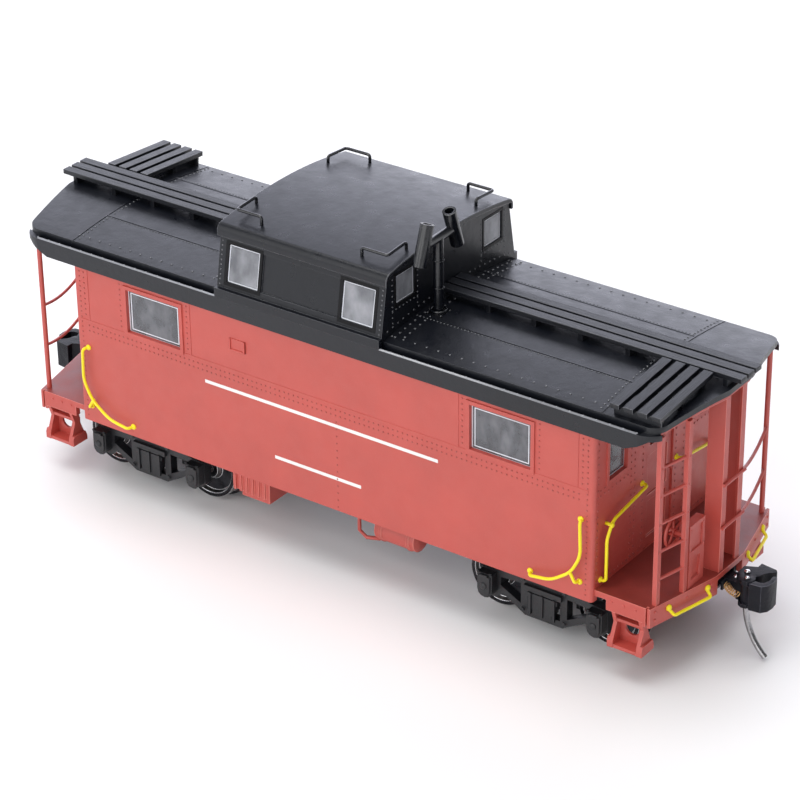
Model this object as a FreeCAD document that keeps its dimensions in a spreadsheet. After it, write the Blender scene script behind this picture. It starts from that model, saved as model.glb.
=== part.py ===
import FreeCAD, Part
import Sketcher
import math
import os

from FreeCAD import Placement, Rotation, Vector

# Model caboose, HO scale, in millimetres.
# +X runs along the car to its end "a", +Y to its side, +Z up. The origin is on the ground
# plane that touches the wheel flanges, under the middle of the car. End "b" is end "a"
# turned half a turn about Z, apart from the cupola, which sits off the middle.

doc = FreeCAD.newDocument("Caboose")

# ---------------------------------------------------------------- driving dimensions

DIMENSIONS = [
    ("body_half_length", 43.9, "middle of the car to the outside of an end wall"),
    ("body_half_width", 16.0, "middle of the car to the outside of a side"),
    ("body_bottom", 10.5, "bottom edge of the sides"),
    ("body_top", 37.2, "top edge of the sides and end walls"),
    ("wall", 1.2, "thickness of the body walls"),
    ("window_low", 27.5, "bottom of the side window openings"),
    ("window_high", 34.2, "top of the side window openings"),
    ("window_inner_x", 24.5, "side window edge nearest the middle"),
    ("window_outer_x", 34.1, "side window edge nearest the end"),
    ("trim", 0.55, "width of the raised window frames"),
    ("trim_proud", 0.2, "how far window frames stand out"),
    ("end_window_inner_y", 8.4, "end window edge nearest the door"),
    ("end_window_outer_y", 12.8, "end window edge nearest the corner"),
    ("end_window_low", 27.6, "bottom of the end windows"),
    ("end_window_high", 33.6, "top of the end windows"),
    ("door_half_width", 3.5, "half the width of an end door"),
    ("door_height", 21.6, "height of an end door above the deck"),
    ("glass", 0.6, "thickness of the window glass"),
    ("glass_set_back", 0.35, "how deep the glass sits in its opening"),
    ("floor_low", 11.6, "underside of the floor plate"),
    ("floor_top", 12.8, "top of the floor plate"),
    ("deck_top", 12.36, "top of the end platforms"),
    ("deck_thick", 0.8, "thickness of the platform plate"),
    ("sill_corner_x", 52.4, "end sill at the car's corner"),
    ("sill_corner_y", 15.54, "side of the end platform"),
    ("sill_middle_x", 55.3, "end sill at its bent-out middle"),
    ("sill_flat_y", 3.5, "half the flat middle of the end sill"),
    ("sill_bottom", 9.45, "bottom of the end sill"),
    ("sill_thick", 1.1, "thickness of the end sill"),
    ("roof_ridge", 40.1, "top of the main roof"),
    ("roof_radius", 92.0, "radius of the main roof's arch"),
    ("roof_thick", 1.2, "thickness of the main roof sheet"),
    ("roof_end_thick", 0.8, "thickness of the roof sheet over the platforms"),
    ("roof_half_width", 16.45, "middle of the car to the outside of the eaves"),
    ("roof_corner_x", 52.6, "roof end at the car's corner"),
    ("roof_middle_x", 55.6, "roof end at its bent-out middle"),
    ("fascia_low", 35.5, "bottom of the eaves board"),
    ("fascia_high", 38.0, "top of the eaves board"),
    ("gutter_floor", 37.6, "bottom of the trough behind the eaves board"),
    ("cupola_x", -3.75, "middle of the cupola along the car"),
    ("cupola_half_length", 13.9, "half the length of the cupola walls"),
    ("cupola_foot_y", 15.75, "outside of a cupola side at its foot"),
    ("cupola_head_y", 14.3, "outside of a cupola side at its top"),
    ("cupola_foot", 39.4, "bottom of the leaning cupola sides"),
    ("cupola_head", 47.6, "top of the leaning cupola sides"),
    ("cupola_wall", 0.9, "thickness of the cupola walls"),
    ("cupola_window_inner", 7.0, "cupola window edge nearest the cupola's middle"),
    ("cupola_window_outer", 12.3, "cupola window edge nearest the cupola's end"),
    ("cupola_window_low", 40.3, "bottom of the cupola side windows"),
    ("cupola_window_high", 45.7, "top of the cupola side windows"),
    ("cupola_panel_half", 6.5, "half the length of the sunk panel between the windows"),
    ("cupola_light_inner_y", 8.2, "cupola end window edge nearest the middle"),
    ("cupola_light_outer_y", 12.4, "cupola end window edge nearest the corner"),
    ("cupola_light_low", 43.1, "bottom of the cupola end windows"),
    ("cupola_light_high", 47.2, "top of the cupola end windows"),
    ("cupola_roof_top", 49.65, "crown of the cupola roof"),
    ("cupola_roof_radius", 79.0, "radius of the cupola roof's arch"),
    ("cupola_roof_thick", 0.7, "thickness of the cupola roof"),
    ("cupola_roof_half_length", 14.2, "half the length of the cupola roof"),
    ("cupola_roof_half_width", 14.95, "half the width of the cupola roof"),
    ("board_top", 41.8, "top of the running boards"),
    ("board_thick", 0.7, "thickness of a running board plank"),
    ("plank", 1.4, "width of a running board plank"),
    ("plank_gap", 0.45, "gap between planks"),
    ("board_end_x", 57.0, "outer end of the running boards"),
    ("lateral_x", 49.3, "middle of a lateral board along the car"),
    ("lateral_plank", 1.35, "width of a lateral board plank"),
    ("lateral_gap", 0.7, "gap between lateral board planks"),
    ("lateral_end_y", 15.7, "outer end of a lateral board"),
    ("jack_x", 12.4, "middle of the smoke jack along the car"),
    ("jack_y", -5.8, "middle of the smoke jack across the car"),
    ("jack_head", 50.9, "height of the smoke jack's cross tube"),
    ("ladder_outer_y", 14.0, "ladder stile at the car's corner"),
    ("ladder_inner_y", 9.15, "ladder stile nearest the middle"),
    ("rung_low", 16.1, "height of the lowest rung"),
    ("rung_pitch", 4.15, "distance between rungs"),
    ("gate_post_y", 2.65, "outside of a centre post"),
    ("corner_post_y", 14.2, "middle of the corner post"),
    ("rail_high", 25.7, "height of the upper rail and gate bar"),
    ("rail_low", 19.2, "height of the lower rail and gate bar"),
    ("brake_x", 53.85, "outer face of the brake stand"),
    ("brake_y", -6.6, "middle of the brake stand"),
    ("brake_half_width", 1.9, "half the width of the brake stand"),
    ("brake_case_low", 17.2, "bottom of the brake stand's gear case"),
    ("brake_top", 21.8, "top of the brake stand"),
    ("brake_wheel_x", 50.25, "middle of the brake wheel along the car"),
    ("brake_wheel_z", 19.0, "height of the brake wheel's shaft"),
    ("truck_x", 34.2, "truck centre from the middle of the car"),
    ("wheelbase", 17.5, "distance between the two axles of a truck"),
    ("tread_radius", 4.8, "radius of the wheel tread"),
    ("flange_radius", 5.44, "radius of the wheel flange, and height of the axle"),
    ("back_to_back", 14.55, "distance between the inner faces of two wheels"),
    ("wheel_width", 2.8, "width of a wheel"),
    ("axle_radius", 0.8, "radius of the axle"),
    ("axle_half_length", 12.55, "middle of the axle to its pointed tip"),
    ("frame_inner_y", 11.2, "inner face of a truck side frame"),
    ("frame_outer_y", 12.6, "outer face of a truck side frame"),
    ("journal_outer_y", 14.2, "outer face of the journal boxes"),
    ("bolster_top", 8.9, "top of the truck bolster"),
    ("wire", 0.45, "diameter of grab irons, rungs and rails"),
    ("post", 0.85, "width of a ladder stile"),
    ("coupler_z", 10.2, "height of the coupler shank"),
    ("coupler_pivot_x", 51.0, "coupler pivot from the middle of the car"),
    ("pivot_radius", 1.1, "radius of the coupler pivot post"),
    ("knuckle_x", 58.75, "knuckle pin from the middle of the car"),
    ("knuckle_y", -1.55, "knuckle pin across the car"),
    ("knuckle_pin", 0.45, "radius of the knuckle pin"),
    ("head_low", 8.15, "bottom of the coupler head"),
    ("head_high", 12.25, "top of the coupler head"),
    ("trip_x", 58.0, "trip pin's upright stretch from the middle of the car"),
    ("trip_y", -0.2, "trip pin across the car"),
    ("truck_screw_radius", 0.9, "radius of the screw that a truck turns on"),
    ("running_fit", 0.07, "radial clearance of a turning fit"),
]

sheet = doc.addObject("Spreadsheet::Sheet", "Dims")
for row, (alias, value, note) in enumerate(DIMENSIONS, 1):
    sheet.set(f"A{row}", alias)
    sheet.set(f"B{row}", str(value))
    sheet.set(f"C{row}", note)
    sheet.setAlias(f"B{row}", alias)
doc.recompute()

# Half the length of a cutting tool that reaches past both ends of the car.
LONG = 66


class Size:
    """A length with the sheet expression that gives it."""

    def __init__(self, number, text):
        self.number = number
        self.text = text

    def __add__(self, other):
        other = as_size(other)
        return Size(self.number + other.number, f"({self.text} + {other.text})")

    def __sub__(self, other):
        other = as_size(other)
        return Size(self.number - other.number, f"({self.text} - {other.text})")

    def __mul__(self, factor):
        return Size(self.number * factor, f"({self.text} * {factor:g})")

    def __truediv__(self, factor):
        return Size(self.number / factor, f"({self.text} / {factor:g})")

    def __neg__(self):
        return Size(-self.number, f"(0 - {self.text})")

    __radd__ = __add__
    __rmul__ = __mul__

    def __rsub__(self, other):
        return as_size(other) - self


def as_size(value):
    """Turn a plain number into a Size."""
    return value if isinstance(value, Size) else Size(float(value), f"{value:g}")


class Dims:
    """The sheet's cells by name."""


for alias, _, _ in DIMENSIONS:
    setattr(Dims, alias, Size(float(sheet.get(alias)), f"Dims.{alias}"))

# ---------------------------------------------------------------- building blocks

TURN = {"x": Rotation(Vector(0, 1, 0), 90), "y": Rotation(Vector(1, 0, 0), -90), "z": Rotation()}
HALF_TURN = Placement(Vector(0, 0, 0), Rotation(Vector(0, 0, 1), 180))


def bind(piece, prop, value):
    """Bind a property to a size."""
    piece.setExpression(prop, as_size(value).text)


def put(piece, x, y, z):
    """Bind the place of a piece."""
    for axis, value in zip("xyz", (x, y, z)):
        bind(piece, f"Placement.Base.{axis}", value)
    return piece


def box(name, x, y, z):
    """A box between two sizes along each axis."""
    piece = doc.addObject("Part::Box", name)
    for prop, (low, high) in zip(("Length", "Width", "Height"), (x, y, z)):
        bind(piece, prop, as_size(high) - low)
    return put(piece, x[0], y[0], z[0])


def rod(name, radius, start, length, axis):
    """A round rod from a start point along +x, +y or +z."""
    piece = doc.addObject("Part::Cylinder", name)
    bind(piece, "Radius", radius)
    bind(piece, "Height", length)
    piece.Placement = Placement(Vector(0, 0, 0), TURN[axis])
    return put(piece, *start)


def cone(name, radius_low, radius_high, start, length, axis):
    """A cone or a cone's frustum from a start point along +x, +y or +z."""
    piece = doc.addObject("Part::Cone", name)
    bind(piece, "Radius1", radius_low)
    bind(piece, "Radius2", radius_high)
    bind(piece, "Height", length)
    piece.Placement = Placement(Vector(0, 0, 0), TURN[axis])
    return put(piece, *start)


def arch(name, radius, top, half_length):
    """A long solid cylinder along the car whose crown is the top of an arched roof."""
    return rod(name, radius, (-half_length, 0, as_size(top) - radius), 2 * as_size(half_length), "x")


def fuse(name, *pieces):
    piece = doc.addObject("Part::MultiFuse", name)
    piece.Shapes = list(pieces)
    return piece


def cut(name, base, *tools):
    piece = doc.addObject("Part::Cut", name)
    piece.Base = base
    piece.Tool = tools[0] if len(tools) == 1 else fuse(name + "_tools", *tools)
    return piece


def common(name, first, second):
    piece = doc.addObject("Part::MultiCommon", name)
    piece.Shapes = [first, second]
    return piece


def group(name, *pieces):
    """Separate solids that make one node."""
    piece = doc.addObject("Part::Compound", name)
    piece.Links = list(pieces)
    return piece


def turned(name, source):
    """A copy of a piece, turned half a turn about Z, for the other end of the car."""
    piece = group(name, source)
    piece.Placement = HALF_TURN
    return piece


def flipped(name, source, normal):
    """A mirror image of a piece."""
    piece = doc.addObject("Part::Mirroring", name)
    piece.Source = source
    piece.Normal = Vector(*normal)
    return piece


def outline(sketch, points):
    """A closed outline whose corners are bound to sizes."""
    corners = [(as_size(u), as_size(v)) for u, v in points]
    for index, (u, v) in enumerate(corners):
        u_next, v_next = corners[(index + 1) % len(corners)]
        ends = Vector(u.number, v.number, 0), Vector(u_next.number, v_next.number, 0)
        sketch.addGeometry(Part.LineSegment(*ends), False)
    for index, corner in enumerate(corners):
        after = (index + 1) % len(corners)
        sketch.addConstraint(Sketcher.Constraint("Coincident", index, 2, after, 1))
        for kind, origin_axis, value in zip(("DistanceX", "DistanceY"), (-2, -1), corner):
            if value.number == 0:
                sketch.addConstraint(Sketcher.Constraint("PointOnObject", index, 1, origin_axis))
            else:
                rule = Sketcher.Constraint(kind, -1, 1, index, 1, value.number)
                number = sketch.addConstraint(rule)
                sketch.setExpression(f"Constraints[{number}]", value.text)


def plane_sketch(body, name, role, offset=0):
    """A sketch on one of its own body's origin planes, moved along the plane's normal."""
    sketch = body.newObject("Sketcher::SketchObject", name)
    plane = next(item for item in body.Origin.OriginFeatures if item.Role == role)
    sketch.AttachmentSupport = [(plane, "")]
    sketch.MapMode = "FlatFace"
    bind(sketch, "AttachmentOffset.Base.z", offset)
    return sketch


def pad(body, name, role, points, low, high):
    """Pad an outline between two sizes along the plane's normal axis."""
    low, high = as_size(low), as_size(high)
    # The XZ plane's normal points along -Y, so its sketch stands at the high side.
    offset = -high if role == "XZ_Plane" else low
    sketch = plane_sketch(body, name + "_outline", role, offset)
    outline(sketch, points)
    feature = body.newObject("PartDesign::Pad", name)
    feature.Profile = sketch
    bind(feature, "Length", high - low)
    body.Tip = feature
    return feature


def pocket(body, name, role, points, low, high):
    """Cut an outline between two sizes along the plane's normal axis."""
    low, high = as_size(low), as_size(high)
    # A pocket runs against the plane's normal.
    offset = -low if role == "XZ_Plane" else high
    sketch = plane_sketch(body, name + "_outline", role, offset)
    outline(sketch, points)
    feature = body.newObject("PartDesign::Pocket", name)
    feature.Profile = sketch
    bind(feature, "Length", high - low)
    body.Tip = feature
    return feature


def prism(name, role, points, low, high):
    """A body that is one padded outline."""
    body = doc.addObject("PartDesign::Body", name)
    pad(body, name + "_pad", role, points, low, high)
    return body


def round_edges(body, name, radius, wanted):
    """Fillet the edges of a body's last feature that a test picks."""
    doc.recompute()
    base = body.Tip
    edges = [f"Edge{number}" for number, edge in enumerate(base.Shape.Edges, 1) if wanted(edge)]
    feature = body.newObject("PartDesign::Fillet", name)
    feature.Base = (base, edges)
    bind(feature, "Radius", radius)
    body.Tip = feature
    return feature


def rectangle(u, v):
    """The corners of a rectangle between two sizes each way."""
    return [(u[0], v[0]), (u[1], v[0]), (u[1], v[1]), (u[0], v[1])]


def both_sides(points):
    """Corners on the +Y side, given from the +X end round to -X, closed by their mirror image."""
    return points + [(x, -y) for x, y in reversed(points)]


def bent_rod(name, route, diameter, bends):
    """A round wire along straight runs that tangent arcs join, with one bend radius or one per corner."""
    corners = [Vector(*(as_size(value).number for value in point)) for point in route]
    edges = []
    start = corners[0]
    if not isinstance(bends, tuple):
        bends = (bends,) * (len(corners) - 2)
    for before, corner, after, bend in zip(corners, corners[1:], corners[2:], bends):
        back = (before - corner).normalize()
        ahead = (after - corner).normalize()
        half = back.getAngle(ahead) / 2
        reach = bend / math.tan(half)
        inside = (back + ahead).normalize() * (bend / math.sin(half) - bend)
        enter = corner + back * reach
        leave = corner + ahead * reach
        edges.append(Part.LineSegment(start, enter).toShape())
        edges.append(Part.Arc(enter, corner + inside, leave).toShape())
        start = leave
    edges.append(Part.LineSegment(start, corners[-1]).toShape())
    return swept(name, Part.Wire(edges), diameter)


def swept(name, path, diameter):
    """A round wire along a path, as a feature of its own."""
    first = path.Edges[0]
    direction = first.tangentAt(first.FirstParameter)
    profile = Part.makeCircle(as_size(diameter).number / 2, first.valueAt(first.FirstParameter), direction)
    piece = doc.addObject("Part::Feature", name)
    piece.Shape = path.makePipeShell([Part.Wire(profile)], True, True)
    return piece


NODES = []


def node(label, piece):
    """Mark a finished sub-part. Its label is its file's name."""
    piece.Label = label
    NODES.append(piece)
    return piece


def node_at_each_end(label, piece):
    """Mark a sub-part at end a, and its turned copy at end b."""
    node(label + "_a", piece)
    node(label + "_b", turned(label + "_turned", piece))


D = Dims

# ---------------------------------------------------------------- body shell, doors and glass

DOOR_SET_BACK = 0.3
DOOR_LIGHT_HALF = 2


def window_boxes(name, grow, y_low, y_high):
    """Boxes through both sides at the four side windows, grown all round."""
    x_span = (D.window_inner_x - grow, D.window_outer_x + grow)
    z_span = (D.window_low - grow, D.window_high + grow)
    boxes = []
    for index, (way, side) in enumerate(((1, 1), (1, -1), (-1, 1), (-1, -1))):
        x = x_span if way > 0 else (-x_span[1], -x_span[0])
        y = (y_low, y_high) if side > 0 else (-y_high, -y_low)
        boxes.append(box(f"{name}_{index}", x, y, z_span))
    return boxes


def end_window_boxes(name, grow, x_low, x_high):
    """Boxes through both end walls at the four end windows, grown all round."""
    y_span = (D.end_window_inner_y - grow, D.end_window_outer_y + grow)
    z_span = (D.end_window_low - grow, D.end_window_high + grow)
    boxes = []
    for index, (way, side) in enumerate(((1, 1), (1, -1), (-1, 1), (-1, -1))):
        x = (x_low, x_high) if way > 0 else (-x_high, -x_low)
        y = y_span if side > 0 else (-y_span[1], -y_span[0])
        boxes.append(box(f"{name}_{index}", x, y, z_span))
    return boxes


def body_shell():
    """The four walls in one moulding, with gables under the roof and raised window frames."""
    body = doc.addObject("PartDesign::Body", "shell_walls")
    outer = rectangle((-D.body_half_length, D.body_half_length), (-D.body_half_width, D.body_half_width))
    pad(body, "shell_block", "XY_Plane", outer, D.body_bottom, D.body_top)
    round_edges(body, "shell_corners", 0.6, lambda edge: abs(edge.tangentAt(0).z) > 0.9)
    inner_x = D.body_half_length - D.wall
    inner_y = D.body_half_width - D.wall
    inner = rectangle((-inner_x, inner_x), (-inner_y, inner_y))
    pocket(body, "shell_hollow", "XY_Plane", inner, D.body_bottom, D.body_top)
    under_ends = rectangle((-D.body_half_length, D.body_half_length), (-inner_y, inner_y))
    pocket(body, "shell_end_feet", "XY_Plane", under_ends, D.body_bottom, D.floor_low)
    door = rectangle((-D.door_half_width, D.door_half_width), (D.deck_top, D.deck_top + D.door_height))
    pocket(body, "shell_doors", "YZ_Plane", door, -D.body_half_length, D.body_half_length)
    frames = window_boxes("frame", D.trim, inner_y, D.body_half_width + D.trim_proud)
    frames += end_window_boxes("end_frame", D.trim, inner_x, D.body_half_length + D.trim_proud)
    gable_y = inner_y - 0.1
    gable = box("gable_box", (inner_x, D.body_half_length), (-gable_y, gable_y), (D.body_top, D.roof_ridge))
    under_roof = arch("under_roof", D.roof_radius - D.roof_thick, D.roof_ridge - D.roof_thick, LONG)
    gables = common("gables", fuse("gable_boxes", gable, turned("gable_turned", gable)), under_roof)
    solid = fuse("shell_solid", body, gables, *frames)
    holes = window_boxes("hole", 0, inner_y - 1, D.body_half_width + 1)
    holes += end_window_boxes("end_hole", 0, inner_x - 1, D.body_half_length + 1)
    return cut("shell", solid, *holes)


def end_doors():
    """Panelled doors that fill the openings in the end walls."""
    inner = D.body_half_length - D.wall
    outer = D.body_half_length - DOOR_SET_BACK
    width = (-D.door_half_width, D.door_half_width)
    leaf = box("door_leaf", (inner, outer), width, (D.deck_top, D.deck_top + D.door_height))
    light_width = (-DOOR_LIGHT_HALF, DOOR_LIGHT_HALF)
    light = box("door_light", (inner - 1, outer + 1), light_width, (D.end_window_low, D.end_window_high))
    panels = [
        box(f"door_panel_{index}", (outer - 0.3, outer + 1), (-2.4, 2.4), span)
        for index, span in enumerate(((D.deck_top + 1.4, 19.2), (20.2, 26.2)))
    ]
    door = cut("door", leaf, light, *panels)
    return group("doors", door, turned("door_turned", door))


def body_glazing():
    """Clear panes that plug the window and door openings from inside."""
    inner_y = D.body_half_width - D.wall
    inner_x = D.body_half_length - D.wall
    panes = window_boxes("pane", 0, inner_y, D.body_half_width - D.glass_set_back)
    flanges = window_boxes("flange", 0.7, inner_y - D.glass, inner_y)
    panes += end_window_boxes("end_pane", 0, inner_x, D.body_half_length - D.glass_set_back)
    flanges += end_window_boxes("end_flange", 0.5, inner_x - D.glass, inner_x)
    plugs = [fuse(f"glass_{index}", *pair) for index, pair in enumerate(zip(panes, flanges))]
    z_span = (D.end_window_low, D.end_window_high)
    door_pane = box("door_pane", (inner_x, inner_x + 0.4), (-DOOR_LIGHT_HALF, DOOR_LIGHT_HALF), z_span)
    return group("glazing", *plugs, door_pane, turned("door_pane_turned", door_pane))


node("body_shell", body_shell())
node("end_doors", end_doors())
node("body_glazing", body_glazing())

# ---------------------------------------------------------------- floor and weight


def floor_pan():
    """The floor plate with its centre sill and the pads that the trucks turn on."""
    inner_x = D.body_half_length - D.wall
    inner_y = D.body_half_width - D.wall
    plate = box("floor_plate", (-inner_x, inner_x), (-inner_y, inner_y), (D.floor_low, D.floor_top))
    sill_end = D.truck_x - 4
    sill = box("centre_sill", (-sill_end, sill_end), (-2.2, 2.2), (9.6, D.floor_low))
    pieces = [plate, sill]
    bores = []
    for index, x in enumerate((D.truck_x, -D.truck_x)):
        pieces.append(rod(f"truck_pad_{index}", 3.4, (x, 0, D.bolster_top + 0.1), 2.8, "z"))
        bores.append(rod(f"truck_bore_{index}", D.truck_screw_radius, (x, 0, 5), 7, "z"))
    for index, x in enumerate((-20, -8.5, 5, 20)):
        span = (x - 0.6, x + 0.6)
        pieces.append(box(f"cross_bearer_{index}", span, (-inner_y, inner_y), (10.7, D.floor_low)))
    return cut("floor", fuse("floor_solid", *pieces), *bores)


def ballast_weight():
    """A steel bar that lies on the floor inside the body."""
    return box("ballast", (-30, 30), (-9, 9), (D.floor_top, D.floor_top + 2.8))


node("floor_pan", floor_pan())
node("ballast_weight", ballast_weight())

# ---------------------------------------------------------------- main roof


ROOF_BEND_Y = 3
EAVES_BOARD = 0.3
TROUGH_END_X = 50.4
CARLINE_HALF_Y = 14.6


def roof_plan(y):
    """The whole roof's plan at a half width, with both ends bent outward in their middles."""
    end_a = both_sides([(D.roof_corner_x, y), (D.roof_middle_x, ROOF_BEND_Y)])
    return end_a + [(-x, -v) for x, v in end_a]


def rounded_corners(edge):
    """Upright edges at the roof's outer corners."""
    return abs(edge.tangentAt(0).z) > 0.9 and abs(edge.CenterOfMass.y) > 10


def main_roof():
    """An arched sheet with bent-out ends, gutters and eaves boards."""
    sheet_y = D.roof_half_width - 1.1
    sheet_block = prism("roof_sheet_block", "XY_Plane", roof_plan(sheet_y), 36, 41)
    round_edges(sheet_block, "roof_sheet_corners", 2.2, rounded_corners)
    crown = arch("roof_crown", D.roof_radius, D.roof_ridge, LONG)
    below = arch("roof_below", D.roof_radius - D.roof_thick, D.roof_ridge - D.roof_thick, LONG)
    room = box("roof_end_room", (D.body_half_length + 0.4, LONG), (-CARLINE_HALF_Y, CARLINE_HALF_Y), (30, 41))
    below_ends = common("roof_below_ends", fuse("roof_end_rooms", room, turned("roof_end_room_turned", room)),
                        arch("roof_end_arch", D.roof_radius - D.roof_end_thick,
                             D.roof_ridge - D.roof_end_thick, LONG))
    sheet_piece = cut("roof_sheet", common("roof_arched", sheet_block, crown), below, below_ends)

    eaves = prism("eaves_block", "XY_Plane", roof_plan(D.roof_half_width), D.fascia_low, D.fascia_high)
    round_edges(eaves, "eaves_corners", 3.2, rounded_corners)
    low = D.fascia_low - 1
    inside = box("eaves_inside", (-LONG, LONG), (-D.body_half_width, D.body_half_width), (low, D.body_top))
    middle_y = sheet_y - 0.6
    middle = box("eaves_middle", (-LONG, LONG), (-middle_y, middle_y), (low, 39))
    trough_y = (sheet_y, D.roof_half_width - EAVES_BOARD)
    trough = box("trough", (-TROUGH_END_X, TROUGH_END_X), trough_y, (D.gutter_floor, 39))
    sweep = [(48.4, low), (LONG, low), (LONG, D.body_top), (51.6, D.body_top),
             (50.2, D.fascia_low + 0.8), (48.4, D.fascia_low)]
    rise = prism("eaves_rise", "XZ_Plane", sweep, -20, 20)
    channel = cut("channel", eaves, inside, middle, trough, turned("trough_turned", trough),
                  rise, turned("eaves_rise_turned", rise))
    return fuse("roof", sheet_piece, channel)


def end_carline():
    """The arched cross-piece under a roof end, which the posts meet."""
    front = 0.5
    back = 1.6
    plan = both_sides([
        (D.roof_middle_x - front, ROOF_BEND_Y), (D.roof_corner_x - front, CARLINE_HALF_Y),
        (D.roof_corner_x - back, CARLINE_HALF_Y), (D.roof_middle_x - back, ROOF_BEND_Y),
    ])
    block = prism("carline_block", "XY_Plane", plan, 34, 41)
    top = D.roof_ridge - D.roof_end_thick
    upper = arch("carline_upper", D.roof_radius - D.roof_end_thick, top, LONG)
    lower = arch("carline_lower", D.roof_radius - D.roof_end_thick, top - 0.8, LONG)
    return cut("carline", common("carline_arched", block, upper), lower)


node("main_roof", main_roof())
carline = end_carline()
node("end_carlines", group("carlines", carline, turned("carline_turned", carline)))

# ---------------------------------------------------------------- roof boards and smoke jack


BOARD_SUPPORT_PITCH = 7.3


def plank_spans(count, width, gap):
    """The spans of evenly spaced planks about a centre line."""
    pitch = width + gap
    first = -(count - 1) / 2 * pitch - width / 2
    return [(first + index * pitch, first + index * pitch + width) for index in range(count)]


def running_board(name, inner_x, supports):
    """Three planks from the cupola past the roof end on cross supports. Made at end a."""
    underside = D.board_top - D.board_thick
    pieces = [
        box(f"{name}_plank_{index}", (inner_x, D.board_end_x), span, (underside, D.board_top))
        for index, span in enumerate(plank_spans(3, D.plank, D.plank_gap))
    ]
    support_z = (D.roof_ridge - 0.1, underside)
    for index in range(supports):
        x = inner_x + 0.2 + index * BOARD_SUPPORT_PITCH
        pieces.append(box(f"{name}_support_{index}", (x, x + 0.7), (-2.5, 2.5), support_z))
    crown = arch(f"{name}_crown", D.roof_radius, D.roof_ridge, LONG)
    return cut(name, fuse(name + "_solid", *pieces), crown)


def lateral_board():
    """Four planks down the roof's slope at the ladder's side, on two bearers."""
    inner_y = 2.9
    length = D.lateral_end_y - inner_y
    pieces = [
        box(f"lateral_plank_{index}", span, (-length, 0), (-D.board_thick, 0))
        for index, span in enumerate(plank_spans(4, D.lateral_plank, D.lateral_gap))
    ]
    for index, y in enumerate((-1.6, -6.4, -11.6)):
        span = (y - 0.35, y + 0.35)
        pieces.append(box(f"lateral_bearer_{index}", (-3.7, 3.3), span, (-3.2, -D.board_thick)))
    level = fuse("lateral_level", *pieces)
    slope = group("lateral_slope", level)
    slope.Placement = Placement(Vector(0, 0, 0), Rotation(Vector(1, 0, 0), 4.4))
    put(slope, D.lateral_x, -inner_y, D.board_top)
    crown = arch("lateral_crown", D.roof_radius, D.roof_ridge, LONG)
    return cut("lateral", slope, crown)


def corner_grabs():
    """Bent wire grabs at the four corners of the cupola roof."""
    reach = 4.2
    x = D.cupola_roof_half_length - 1.6
    y = D.cupola_roof_half_width - 2.6
    grabs = []
    for index, (way, side) in enumerate(((1, 1), (1, -1), (-1, 1), (-1, -1))):
        corner_x = D.cupola_x + x * way
        corner_y = y * side
        inner_x = corner_x - reach * way
        inner_y = corner_y - reach * side
        route = [
            (inner_x, corner_y, 48.3), (inner_x, corner_y, 49.9), (corner_x, corner_y, 49.9),
            (corner_x, inner_y, 50.2), (corner_x, inner_y, 48.9),
        ]
        grabs.append(bent_rod(f"corner_grab_{index}", route, D.wire, 0.4))
    return group("corner_grabs", *grabs)


def smoke_jack():
    """A stack beside the cupola with an H-shaped head of two leaning tubes."""
    x, y, foot_z = D.jack_x, D.jack_y, 39.3
    stack = rod("jack_stack", 0.7, (x, y, foot_z), D.jack_head - foot_z, "z")
    flange = rod("jack_flange", 1.15, (x, y, foot_z), 0.7, "z")
    cross = rod("jack_cross", 0.65, (x, y - 3.4, D.jack_head), 6.8, "y")
    tube_length = 5.8
    tubes, bores = [], []
    for side in (-1, 1):
        lean = math.radians(19) * side
        along = Vector(0, -math.sin(lean), math.cos(lean))
        foot = (x, y + 3.5 * side - 2.7 * along.y, D.jack_head - 2.7 * along.z)
        tubes.append(rod(f"jack_tube_{side + 1}", 0.95, foot, tube_length, "z"))
        bores.append(rod(f"jack_bore_{side + 1}", 0.62, foot, tube_length, "z"))
        for piece in (tubes[-1], bores[-1]):
            piece.Placement = Placement(Vector(0, 0, 0), Rotation(Vector(0, 0, 1), along))
            put(piece, *foot)
    crown = arch("jack_crown", D.roof_radius, D.roof_ridge, LONG)
    return cut("jack", fuse("jack_solid", stack, flange, cross, *tubes), crown, *bores)


wall_gap = D.cupola_half_length + 0.1
board_a = running_board("board_a", D.cupola_x + wall_gap, 7)
board_b = running_board("board_b", wall_gap - D.cupola_x, 6)
node("running_boards", group("boards", board_a, turned("board_b_turned", board_b)))
lateral = lateral_board()
node("lateral_boards", group("laterals", lateral, turned("lateral_turned", lateral)))
node("cupola_grab_rails", corner_grabs())
node("smoke_jack", smoke_jack())

# ---------------------------------------------------------------- cupola

def cupola_profile(inset):
    """The leaning cross-section of the cupola, moved in by an inset."""
    right = [(D.cupola_foot_y - inset, D.cupola_foot), (D.cupola_head_y - inset, D.cupola_head),
             (D.cupola_head_y - inset, 50)]
    left = [(-y, z) for y, z in reversed(right)]
    foot = [(-(D.cupola_foot_y - inset), 36), (D.cupola_foot_y - inset, 36)]
    return right + left + foot


def cupola_end_x(inset):
    """The cupola's two ends, moved in by an inset."""
    half = D.cupola_half_length - inset
    return D.cupola_x - half, D.cupola_x + half


def cupola_window_boxes(name, y_low, y_high):
    """Boxes through both leaning sides at the four windows."""
    inner, outer = D.cupola_window_inner, D.cupola_window_outer
    z_span = (D.cupola_window_low, D.cupola_window_high)
    boxes = []
    for index, (low, high) in enumerate(((-outer, -inner), (inner, outer))):
        x_span = (D.cupola_x + low, D.cupola_x + high)
        boxes.append(box(f"{name}_{index}_left", x_span, (y_low, y_high), z_span))
        boxes.append(box(f"{name}_{index}_right", x_span, (-as_size(y_high), -as_size(y_low)), z_span))
    return boxes


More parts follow.
